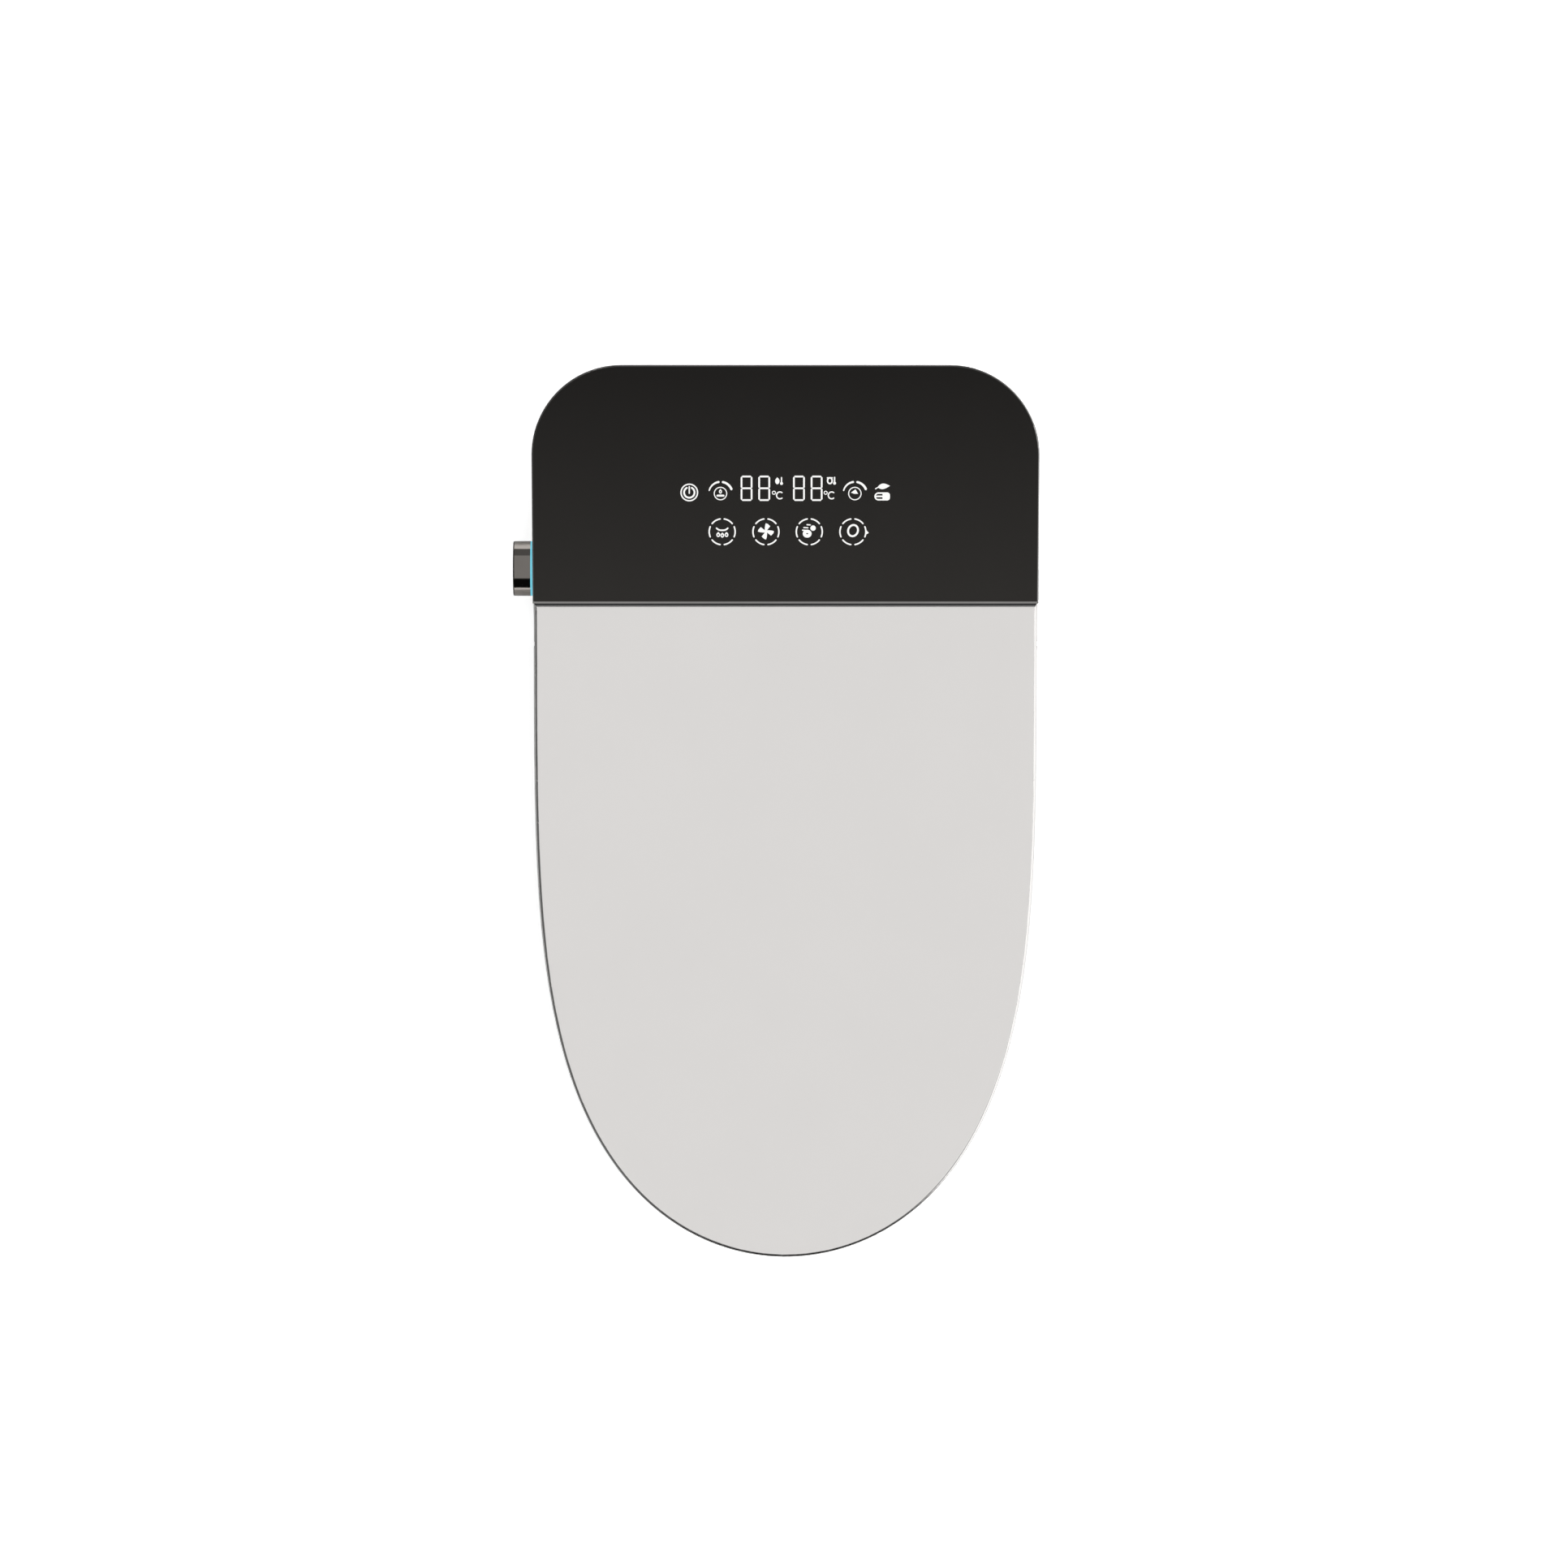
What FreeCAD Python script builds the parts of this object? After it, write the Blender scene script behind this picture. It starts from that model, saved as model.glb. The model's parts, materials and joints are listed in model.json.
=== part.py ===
import FreeCAD, Part
import os
from math import atan2, cos, degrees, hypot, pi, radians, sin, sqrt
from FreeCAD import Placement, Rotation, Vector

# Electric bidet seat: a lid and a seat ring hinged to a rear housing with a glass control panel.
# Millimetres. +Z up, -Y towards the front, +Y to the rear, the knob on -X.
# The origin is midway between the two fixing slots, on the plane that lies on the toilet's rim.
# "Local" shapes are drawn about the hinge axis, with y along the sloping top surface and z at
# right angles to it; tilted() carries them into the part's frame.

# ---- driving dimensions ----
TILT = 3.0                  # slope of the lid and the panel, degrees, higher at the rear
HINGE_Y, HINGE_Z = -7.0, 84.0
TOP = 13.0                  # local height of the lid's and the panel's top surface

LID_HALF, LID_LENGTH = 192.0, 500.0
OVAL_POWER = 4.1            # exponent of the outline along the length
LID_REAR = 16.5             # local y of the lid's rear edge at the top surface
LID_WALL = 2.8
LID_SKIRT = -8.0            # local z of the skirt's lower edge
LID_END_R = 21.0            # the lid's rear end is a cylinder about the hinge axis
LID_NOSE_R = 5.0            # rounding between that cylinder and the top surface
TROUGH_R = 22.0             # the housing's trough behind it
TROUGH_WALL = 3.0
EAR = 7.0                   # thickness of the lid's round side ears, which close the trough's ends

SEAT_HALF, SEAT_LENGTH = 193.0, 500.5
SEAT_TOP = -10.0            # local z of the seat's top surface
SEAT_UNDER = 10.0           # height of the seat's underside above the rim
SEAT_REAR = -22.0           # y of the seat's rear face
SEAT_WALL = 3.0
RING_HALF, RING_SEMI, RING_Y = 108.0, 155.0, -252.0    # the opening in the seat ring
RING_POWER = 2.35           # exponent of the opening's rounded outline
DISH_DEPTH, DISH_WIDTH = 9.0, 34.0

HOUSING_HALF_FRONT, HOUSING_HALF = 193.0, 194.0
HOUSING_FRONT = -18.5       # y of the wall behind the seat
HOUSING_REAR = 192.4
HOUSING_CORNER = 68.2
WALL = 3.0
TRAY_TOP = 14.5
DECK = 3.0                  # local z where the panel frame sits on the rear cover
GLASS = 10.0                # local z of the glass's underside
TRIM_WIDTH = 1.5
RIM = 1.2                   # width of the bright rim that the frame shows round the glass

BARREL_R, DAMPER_R, SHAFT_R = 9.5, 6.5, 4.0
BARREL_IN, BARREL_OUT = 112.0, 166.0
STEM_IN, STEM_OUT, STEM_HALF = 128.0, 150.0, 4.8
RUN = 0.05                  # radial running clearance

KNOB_Y, KNOB_Z, KNOB_R = 37.5, 64.0, 21.0
KNOB_X = -193.2             # outer face of the side wall at the knob
RING_THICK, CAP_LENGTH = 2.2, 13.3

BAY_HALF, BAY_FRONT, BAY_LOW, BAY_HIGH, BAY_WALL = 92.0, -92.0, 3.0, 53.5, 2.5
WAND_X, WAND_R, WAND_LENGTH, WAND_SLOPE = 11.0, 6.5, 110.0, 21.0
WAND_TIP_Y, WAND_TIP_Z = -90.0, 14.0
TIP_LENGTH = 16.0
MODULE, TEETH = 1.0, 14
PINION_U = 35.0             # distance of the pinion behind the wand's tip
RACK_PITCH_LINE = 2.0       # height of the rack's pitch line above the wand's axis

SLOT_SPACING, SLOT_LENGTH, SLOT_R = 140.0, 30.0, 4.5
BRACKET_INNER, BRACKET_HALF, BRACKET_FRONT, BRACKET_REAR, PLATE = 42.0, 104.0, -15.0, 38.0, 3.0
POCKET_TOP = 9.0

BLOWER_X, BLOWER_Y, BLOWER_R = 75.0, 102.0, 40.0
BLOWER_LOW, BLOWER_HIGH = 20.0, 48.0
DUCT = (35.0, 69.0, 28.0, 44.0)          # dryer duct: x from, x to, z from, z to
FAN_X, FAN_Y, FAN_R = -66.0, 100.0, 27.0
INTAKE = (-69.0, -35.0, 28.0, 44.0)      # deodoriser duct: x from, x to, z from, z to
FILTER = (-193.4, -118.0, 76.0, 124.0, 20.0, 46.0)
INLET_X, INLET_Y, INLET_R = -95.0, 172.0, 10.4

X, Y, Z = Vector(1, 0, 0), Vector(0, 1, 0), Vector(0, 0, 1)
TILTED = Placement(Vector(0, HINGE_Y, HINGE_Z), Rotation(X, TILT))
FAR = 400.0


# ---- helpers ----
def box(x0, x1, y0, y1, z0, z1):
    return Part.makeBox(x1 - x0, y1 - y0, z1 - z0, Vector(x0, y0, z0))


def rod(r, start, direction, length):
    return Part.makeCylinder(r, length, Vector(*start), direction)


def tube(r_out, r_in, start, direction, length):
    return rod(r_out, start, direction, length).cut(rod(r_in, start, direction, length))


def join(*shapes):
    out = shapes[0].fuse(list(shapes[1:]))
    return out.removeSplitter()


def take(shape, *cutters):
    return shape.cut(list(cutters))


def group(*shapes):
    return Part.makeCompound(list(shapes))


def mirrored(shape):
    """The shape and its mirror image in the plane x = 0."""
    return group(shape, shape.mirror(Vector(0, 0, 0), X))


def tilted(shape):
    out = shape.copy()
    out.Placement = TILTED.multiply(out.Placement)
    return out


def rounded(shape, radius, wanted):
    """Fillets the edges for which wanted(edge) is true."""
    edges = [e for e in shape.Edges if wanted(e)]
    return shape.makeFillet(radius, edges) if edges else shape


def upright(edge):
    box_ = edge.BoundBox
    return box_.XLength < 0.01 and box_.YLength < 0.01 and box_.ZLength > 1


def at_height(edge, z, tolerance=0.01):
    box_ = edge.BoundBox
    return abs(box_.ZMin - z) < tolerance and abs(box_.ZMax - z) < tolerance


def prism(wire, z0, z1):
    wire = wire.copy()
    wire.translate(Vector(0, 0, z0))
    return Part.Face(wire).extrude(Vector(0, 0, z1 - z0))


def oval_wire(half, length, inset=0.0, rear=30.0, spans=14):
    """The lid's outline: straight sides, then (x/half)^2 + t^power = 1 to the front tip."""
    points = []
    for i in range(-spans, spans + 1):
        along = 1.0 - abs(i) / spans
        angle = pi / 2 * along * along
        x, t = half * cos(angle), sin(angle) ** (2 / OVAL_POWER)
        nx, ny = 2 * x / half ** 2, -OVAL_POWER * t ** (OVAL_POWER - 1) / length
        scale = inset / hypot(nx, ny)
        side = 1 if i < 0 else -1
        y = LID_REAR - length * t - ny * scale
        points.append(Vector(side * (x - nx * scale), y, 0))
    curve = Part.BSplineCurve()
    curve.interpolate(Points=points, InitialTangent=Vector(0, -1, 0), FinalTangent=Vector(0, 1, 0))
    right, left = Vector(half - inset, rear, 0), Vector(inset - half, rear, 0)
    edges = [Part.makeLine(right, points[0]), curve.toShape(),
             Part.makeLine(points[-1], left), Part.makeLine(left, right)]
    return Part.Wire(edges)


def ring_wire(grow=0.0, count=28):
    """The seat opening's outline, |x/a|^n + |y/b|^n = 1, moved outwards by grow."""
    points = []
    for i in range(count):
        angle = 2 * pi * (i + 0.5) / count
        c, s = cos(angle), sin(angle)
        x = RING_HALF * abs(c) ** (2 / RING_POWER) * (1 if c > 0 else -1)
        y = RING_SEMI * abs(s) ** (2 / RING_POWER) * (1 if s > 0 else -1)
        nx = abs(x / RING_HALF) ** (RING_POWER - 1) / RING_HALF * (1 if x > 0 else -1)
        ny = abs(y / RING_SEMI) ** (RING_POWER - 1) / RING_SEMI * (1 if y > 0 else -1)
        scale = grow / hypot(nx, ny)
        points.append(Vector(x + nx * scale, RING_Y + y + ny * scale, 0))
    curve = Part.BSplineCurve()
    curve.interpolate(Points=points, PeriodicFlag=True)
    return Part.Wire([curve.toShape()])


def housing_wire(inset=0.0, front=HOUSING_FRONT, rear=HOUSING_REAR):
    """The housing's outline: sides that widen a little, then two large rear corners."""
    r = HOUSING_CORNER - inset
    side, near, back = HOUSING_HALF - inset, HOUSING_HALF_FRONT - inset, rear - inset
    turn = rear - HOUSING_CORNER
    slant = r * sin(radians(45))
    cx = HOUSING_HALF - HOUSING_CORNER
    a, b = Vector(near, front, 0), Vector(side, turn, 0)
    c, d = Vector(cx, back, 0), Vector(-cx, back, 0)
    e, f = Vector(-side, turn, 0), Vector(-near, front, 0)
    right = Part.Arc(b, Vector(cx + slant, turn + slant, 0), c).toShape()
    left = Part.Arc(d, Vector(-cx - slant, turn + slant, 0), e).toShape()
    return Part.Wire([Part.makeLine(a, b), right, Part.makeLine(c, d), left,
                      Part.makeLine(e, f), Part.makeLine(f, a)])


def axis_rod(r, x0, x1):
    """A local cylinder about the hinge axis."""
    return rod(r, (x0, 0, 0), X, x1 - x0)


def wedge(from_deg, to_deg, x0, x1, reach=60.0):
    """A local wedge about the hinge axis, between two angles above the rearward direction."""
    steps = 6
    angles = [radians(from_deg + (to_deg - from_deg) * i / steps) for i in range(steps + 1)]
    return polygon_prism([(0, 0)] + [(reach * cos(a), reach * sin(a)) for a in angles], x0, x1)


def polygon_prism(points, x0, x1):
    """A solid between x0 and x1 whose section is the closed polygon of (y, z) points."""
    corners = [Vector(x0, y, z) for y, z in points]
    face = Part.Face(Part.makePolygon(corners + corners[:1]))
    return face.extrude(Vector(x1 - x0, 0, 0))


# ---- lid ----
def lid_keep(r):
    """The local space that a lid shape may fill: all in front, and a cylinder at the rear."""
    return join(box(-FAR, FAR, -2 * FAR, 0, -FAR, FAR), axis_rod(r, -FAR, FAR))


def nose_cutter():
    """What the rounding between the lid's top surface and its rear cylinder takes away."""
    inner = LID_END_R - LID_NOSE_R
    cz = TOP - LID_NOSE_R
    cy = sqrt(inner ** 2 - cz ** 2)
    reach = 3.0
    corner = [(cy, cz), (cy, cz * reach), (cy * reach, cz * reach)]
    nose = rod(LID_NOSE_R, (-FAR, cy, cz), X, 2 * FAR)
    return take(polygon_prism(corner, -FAR, FAR), nose)


def lid_outer():
    shell = prism(oval_wire(LID_HALF, LID_LENGTH), LID_SKIRT, TOP)
    shell = rounded(shell, 2.4, lambda e: at_height(e, TOP) and e.BoundBox.YMin < 0)
    shell = shell.common(lid_keep(LID_END_R))
    shell = take(shell, nose_cutter())
    hollow = prism(oval_wire(LID_HALF, LID_LENGTH, LID_WALL), LID_SKIRT - 1, TOP - LID_WALL)
    shell = take(shell, hollow.common(lid_keep(LID_END_R - LID_WALL)))
    notch = take(wedge(-30, 30, STEM_IN - 1, STEM_OUT + 1), axis_rod(LID_END_R - LID_WALL - 1, 0, FAR))
    shell = take(shell, notch, notch.mirror(Vector(0, 0, 0), X))
    ear = wedge(-123, 25, LID_HALF - EAR, LID_HALF - 0.4).common(axis_rod(LID_END_R - 0.2, 0, LID_HALF))
    lug = join(axis_rod(9, 168, 180), box(168, 180, -9, 9, 0, TOP - LID_WALL + 0.3))
    lug = take(lug, axis_rod(SHAFT_R, 167, 179))
    side = join(lug, ear)
    return tilted(join(shell, side, side.mirror(Vector(0, 0, 0), X)))


LID_PEGS = [(x, y) for y in (-90, -260) for x in (-120, 0, 120)] + [(0, -420)]
LID_BUMPER_SPOTS = [(150, -130), (-150, -130), (118, -392), (-118, -392)]


def lid_inner():
    panel = prism(oval_wire(LID_HALF, LID_LENGTH, LID_WALL + 0.15), -7.5, -5.3)
    panel = panel.common(box(-FAR, FAR, -2 * FAR, -24, -FAR, FAR))
    pegs = [rod(4, (x, y, -5.3), Z, TOP - LID_WALL + 5.3) for x, y in LID_PEGS]
    return tilted(join(panel, *pegs))


def lid_bumpers():
    return tilted(group(*[rod(7, (x, y, SEAT_TOP), Z, 2.5) for x, y in LID_BUMPER_SPOTS]))


def hinge_pins(x0, x1):
    return tilted(mirrored(axis_rod(SHAFT_R, x0, x1)))


# ---- seat ring ----
def seat_blank(inset):
    body = prism(oval_wire(SEAT_HALF, SEAT_LENGTH, inset), -90, SEAT_TOP - inset)
    if inset == 0:
        body = rounded(body, 5, lambda e: at_height(e, SEAT_TOP) and e.BoundBox.YMin < 0)
    body = tilted(body).common(box(-FAR, FAR, -2 * FAR, SEAT_REAR - inset, SEAT_UNDER, FAR))
    return body


def seat_cutters(grow):
    """The ring's opening with its dished edge, and the space for the nozzle bay."""
    hole = prism(ring_wire(grow), -120, 40)
    low, high = ring_wire(grow), ring_wire(grow + DISH_WIDTH)
    low.translate(Vector(0, 0, SEAT_TOP - DISH_DEPTH - grow))
    high.translate(Vector(0, 0, SEAT_TOP - grow + 0.05))
    dish = Part.makeLoft([low, high], True, True)
    bay = box(-97 - grow, 97 + grow, -103 - grow, 0, -1, 57 + grow)
    ear = axis_rod(TROUGH_R + grow, LID_HALF - EAR - 1 - grow, FAR)
    return [tilted(hole), tilted(dish), bay, tilted(ear), tilted(ear.mirror(Vector(0, 0, 0), X))]


def seat_arms():
    arm = join(axis_rod(9, 98, 110), box(98, 110, -21, 0, -12.9, 0))
    arm = take(arm, axis_rod(SHAFT_R, 97, 111))
    return tilted(mirrored(arm))


def seat_top():
    shell = take(seat_blank(0), *seat_cutters(0))
    hollow = take(seat_blank(SEAT_WALL), *seat_cutters(SEAT_WALL))
    shell = take(shell, hollow)
    slab = box(96, 112, -27, SEAT_REAR, 55, 71)
    return join(shell, slab, slab.mirror(Vector(0, 0, 0), X), *seat_arms().Solids)


SEAT_BUMPER_SPOTS = [(150, -90), (-150, -90), (118, -395), (-118, -395)]
SEAT_SCREW_SPOTS = [(150, -170), (-150, -170), (60, -440), (-60, -440)]


def seat_bottom():
    fit = SEAT_WALL + 0.15
    plate = prism(oval_wire(SEAT_HALF, SEAT_LENGTH, fit), -90, 40)
    plate = tilted(plate).common(box(-FAR, FAR, -2 * FAR, SEAT_REAR - fit, SEAT_UNDER, SEAT_UNDER + 3))
    plate = take(plate, tilted(prism(ring_wire(fit), -120, 40)), box(-101, 101, -107, 0, 0, 40))
    posts = [rod(5, (x, y, SEAT_UNDER + 3), Z, 14) for x, y in SEAT_SCREW_SPOTS]
    plate = join(plate, *posts)
    bores = [rod(2, (x, y, SEAT_UNDER), Z, 17) for x, y in SEAT_SCREW_SPOTS]
    return take(plate, *bores)


def seat_screws():
    return group(*[rod(2, (x, y, SEAT_UNDER), Z, 15) for x, y in SEAT_SCREW_SPOTS])


def seat_heater():
    """A thin heating foil under the flat part of the ring's top."""
    z = SEAT_TOP - SEAT_WALL
    foil = prism(oval_wire(SEAT_HALF, SEAT_LENGTH, 12), z - 0.6, z)
    foil = take(foil, prism(ring_wire(SEAT_WALL + DISH_WIDTH + 3), -60, 0))
    return tilted(foil.common(box(-FAR, FAR, -2 * FAR, -40, -FAR, FAR)))


def seat_bumpers():
    pads = []
    for x, y in SEAT_BUMPER_SPOTS:
        pads.append(rounded(rod(9, (x, y, 0), Z, SEAT_UNDER), 1.5, lambda e: at_height(e, 0)))
    return group(*pads)


# ---- hinge mounts and dampers ----
def hinge_mounts():
    barrel = tilted(axis_rod(BARREL_R, BARREL_IN, BARREL_OUT))
    stem = box(STEM_IN, STEM_OUT, HINGE_Y - STEM_HALF, HINGE_Y + STEM_HALF, WALL, HINGE_Z)
    foot = box(STEM_IN - 8, STEM_OUT + 8, HINGE_Y - 7, HINGE_Y + 12, WALL, WALL + 5)
    mount = take(join(barrel, stem, foot), tilted(axis_rod(DAMPER_R, BARREL_IN - 1, BARREL_OUT + 1)))
    return mirrored(mount)


def damper_set(x0, x1, bore_from, bore_to):
    body = take(axis_rod(DAMPER_R, x0, x1), axis_rod(SHAFT_R + RUN, bore_from, bore_to))
    return tilted(mirrored(body))


# ---- housing ----
def local_slab(z0, z1, inset=0.0, front=HOUSING_FRONT + 7):
    """A layer of the housing's top, between two local heights."""
    rear = (HOUSING_REAR - HINGE_Y) / cos(radians(TILT))
    layer = prism(housing_wire(inset, front, rear), z0, z1)
    return take(layer, axis_rod(TROUGH_R, -FAR, FAR))


def rear_cover():
    outer = prism(housing_wire(), TRAY_TOP, 140)
    outer = outer.common(tilted(box(-FAR, FAR, -FAR, FAR, -200, DECK)))
    outer = take(outer, tilted(axis_rod(TROUGH_R, -FAR, FAR)))
    inner = prism(housing_wire(WALL, HOUSING_FRONT + WALL), TRAY_TOP - 1, 140)
    inner = inner.common(tilted(box(-FAR, FAR, -FAR, FAR, -200, DECK - WALL)))
    inner = take(inner, tilted(axis_rod(TROUGH_R + TROUGH_WALL, -FAR, FAR)))
    window = tilted(box(-165, 165, 42, 180, DECK - WALL - 1, DECK + 1))
    doorway = box(-BAY_HALF + BAY_WALL, BAY_HALF - BAY_WALL, HOUSING_FRONT - 1, HOUSING_FRONT + WALL + 1,
                  TRAY_TOP - 1, BAY_HIGH - BAY_WALL)
    stem = box(STEM_IN - 0.5, STEM_OUT + 0.5, HINGE_Y - STEM_HALF - 0.5, HINGE_Y + STEM_HALF + 0.5, 0, HINGE_Z)
    shell = take(outer, inner, window, doorway, stem, stem.mirror(Vector(0, 0, 0), X))
    cup = rod(KNOB_R + 2.5, (KNOB_X + 1, KNOB_Y, KNOB_Z), X, 4.2)
    shell = join(shell, cup)
    recess = rod(KNOB_R + 0.5, (KNOB_X - 2, KNOB_Y, KNOB_Z), X, 5)
    shaft = rod(3.4, (KNOB_X - 2, KNOB_Y, KNOB_Z), X, 12)
    x0, x1, y0, y1, z0, z1 = FILTER
    drawer = box(x0 - 5, x0 + 8, y0 - 0.4, y1 + 0.4, z0 - 0.4, z1 + 0.4)
    return take(shell, recess, shaft, drawer, inlet_notch(), rod(GLAND_R, GLAND_AT, Y, 20))


GLAND_R, GLAND_AT = 7.0, (95.0, 180.0, 30.0)


def inlet_notch():
    """The corner left free for the water hose's nut, open to the rear and below."""
    return box(INLET_X - 20, INLET_X + 20, INLET_Y - 20, HOUSING_REAR + 10, -1, 32)


BOSSES = [(155, 150), (-155, 150), (30, 178), (-40, 178), (183, 50)]


def chassis_tray():
    outer = prism(housing_wire(), 0, TRAY_TOP)
    inner = prism(housing_wire(WALL, HOUSING_FRONT + WALL), WALL, TRAY_TOP + 1)
    raised = box(-BRACKET_HALF - 3.3, BRACKET_HALF + 3.3, HOUSING_FRONT, BRACKET_REAR + 3.3, 0, POCKET_TOP + 3)
    pocket = box(-BRACKET_HALF - 0.3, BRACKET_HALF + 0.3, BRACKET_FRONT - 0.3, BRACKET_REAR + 0.3, -1, POCKET_TOP)
    notch_wall = box(INLET_X - 23, INLET_X + 23, INLET_Y - 23, HOUSING_REAR - WALL - 0.2, 0, 35)
    tray = join(take(outer, inner), raised, notch_wall)
    button = box(150, 200, BUTTON[0] - 0.3, BUTTON[1] + 0.3, BUTTON[2] - 0.3, BUTTON[3] + 0.3)
    pads = [rod(PAD_R, (x, y, -1), Z, 3) for x, y in PAD_SPOTS]
    bosses = [take(rod(5, (x, y, WALL), Z, TRAY_TOP - WALL), rod(1.6, (x, y, WALL), Z, 20)) for x, y in BOSSES]
    holes = [rod(1.6, (x, y, -1), Z, 20) for x, y in BOSSES]
    doorway = box(-BAY_HALF + BAY_WALL, BAY_HALF - BAY_WALL, HOUSING_FRONT - 1, HOUSING_FRONT + WALL,
                  POCKET_TOP + 3, TRAY_TOP + 1)
    inlet_hole = rod(INLET_R - 1.4, (INLET_X, INLET_Y, 20), Z, 20)
    tray = join(tray, *bosses)
    return take(tray, pocket, button, inlet_notch(), inlet_hole, doorway, *pads, *holes)


PAD_R = 9.0
PAD_SPOTS = [(160, 95), (-160, 95), (75, 165), (-45, 165), (150, -2), (-150, -2)]
BUTTON = (14.0, 38.0, 3.6, 11.6)         # release button: y from, y to, z from, z to


def deck_pads():
    return group(*[rod(PAD_R, (x, y, 0), Z, 2) for x, y in PAD_SPOTS])


def cover_screws():
    screws = []
    for x, y in BOSSES:
        screws.append(join(rod(1.6, (x, y, 2), Z, 11), rod(1.6, (x, y, 1), Z, 1)))
    return group(*screws)


def mounting_bracket():
    """Two plates, each with a rail and a slot, which are bolted over the toilet's fixing holes."""
    plate = box(BRACKET_INNER, BRACKET_HALF, BRACKET_FRONT, BRACKET_REAR, 0, PLATE)
    rail = box(BRACKET_HALF - 4, BRACKET_HALF, BRACKET_FRONT, BRACKET_REAR, PLATE, POCKET_TOP - 1)
    x, half = SLOT_SPACING / 2, SLOT_LENGTH / 2 - SLOT_R
    ends = [rod(SLOT_R, (x + dx, 0, -1), Z, PLATE + 2) for dx in (-half, half)]
    slot = join(box(x - half, x + half, -SLOT_R, SLOT_R, -1, PLATE + 1), *ends)
    return mirrored(take(join(plate, rail), slot))


def release_button():
    y0, y1, z0, z1 = BUTTON
    head = rounded(box(175, 196, y0, y1, z0, z1), 1, lambda e: e.BoundBox.XMin > 195.9)
    flange = box(175, 178, y0 - 4, y1 + 4, z0, z1)
    latch = box(150, 175, y0 + 8, y1 - 8, z0 + 1, z1 - 1)
    return join(head, flange, latch)


def release_spring():
    """A small coil spring's envelope between the latch and the raised pocket wall."""
    y0, y1, z0, z1 = BUTTON
    spots = (y0 + 4, y1 - 4)
    return group(*[tube(2.6, 1.8, (166, y, (z0 + z1) / 2), X, 9) for y in spots])


def release_rib():
    """Two posts beside the latch, against which the springs press."""
    y0, y1, z0, z1 = BUTTON
    return group(box(163, 166, y0, y0 + 7.5, WALL, z1), box(163, 166, y1 - 7.5, y1, WALL, z1))


def panel_frame():
    frame = take(local_slab(DECK, TOP), strip_space())
    frame = rounded(frame, RIM - 0.1, lambda e: at_height(e, TOP) and e.BoundBox.YMax > TRIM_FRONT + 4)
    pocket = box(-150, 150, 50, 172, DECK + 1.5, GLASS + 1)
    posts = [rod(4, (x, y, DECK + 1), Z, 1.5) for x in (-135, 0, 135) for y in (62, 160)]
    cable = box(-30, 30, 140, 150, DECK - 1, DECK + 3)
    return tilted(join(take(frame, local_slab(GLASS, TOP + 1, RIM), pocket, cable), *posts))


def strip_space():
    return box(-FAR, FAR, 0, TRIM_FRONT + TRIM_WIDTH, DECK, TOP + 1)


TRIM_FRONT = sqrt(TROUGH_R ** 2 - TOP ** 2)


def top_panel():
    glass = take(local_slab(GLASS, TOP, RIM), strip_space())
    glass = rounded(glass, 0.3, lambda e: at_height(e, TOP) and e.BoundBox.YMax > TRIM_FRONT + 4)
    return tilted(glass)


def trim_strip():
    low = 6.0
    bar = prism(housing_wire(0, HOUSING_FRONT, 200), low, TOP)
    bar = bar.common(box(-FAR, FAR, 0, TRIM_FRONT + TRIM_WIDTH, low, TOP))
    return tilted(take(bar, axis_rod(TROUGH_R, -FAR, FAR)))


DIGIT_X = (-30.0, -16.0, 10.0, 24.0)
ICON_X = (-73.0, -50.0, 53.0, 74.0)
DASH_X = (-48.5, -15.0, 18.0, 51.4)
ROW_A, ROW_B = 101.0, 72.0


def display_board():
    return tilted(box(-145, 145, 54, 168, DECK + 2.5, DECK + 4.1))


def display_leds():
    bars = [box(x - 6, x + 6, ROW_A - 10, ROW_A + 10, DECK + 4.1, GLASS - 0.2) for x in DIGIT_X]
    return tilted(group(*bars))


def touch_pads():
    spots = [(x, ROW_A) for x in ICON_X] + [(x, ROW_B) for x in DASH_X]
    return tilted(group(*[rod(8, (x, y, DECK + 4.1), Z, GLASS - DECK - 4.3) for x, y in spots]))


# ---- knob ----
def knob_rod(r, x0, x1):
    return rod(r, (x0, KNOB_Y, KNOB_Z), X, x1 - x0)


def knob_cap():
    cap = knob_rod(KNOB_R, KNOB_X - RING_THICK - CAP_LENGTH, KNOB_X - RING_THICK)
    cap = rounded(cap, 1.2, lambda e: e.BoundBox.XMax < KNOB_X - RING_THICK - 1 and e.BoundBox.YLength > 10)
    face = KNOB_X - RING_THICK - CAP_LENGTH
    cap = take(cap, knob_rod(KNOB_R - 3.5, face - 1, face + 0.8))
    return take(cap, knob_rod(3 + RUN, KNOB_X - RING_THICK - 8, KNOB_X))


def knob_light_ring():
    ring = knob_rod(KNOB_R, KNOB_X - RING_THICK, KNOB_X)
    return take(ring, knob_rod(3, KNOB_X - 5, KNOB_X + 1))


def knob_shaft():
    return join(knob_rod(3, KNOB_X - RING_THICK - 7, -160), knob_rod(6.5, -187.5, -186))


def knob_encoder():
    x0, x1 = -178.0, -158.5
    block = box(x0, x1, KNOB_Y - 11, KNOB_Y + 11, KNOB_Z - 11, KNOB_Z + 11)
    leg = box(x0, x0 + 4, KNOB_Y - 11, KNOB_Y + 11, WALL, KNOB_Z - 11)
    return take(join(block, leg), knob_rod(3 + RUN, x0 - 1, -160 + 1.5 + 0.1))


def knob_spring():
    """The return spring's envelope, between the shaft's collar and the encoder."""
    return take(knob_rod(6, -186, -178), knob_rod(5, -187, -177))


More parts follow.
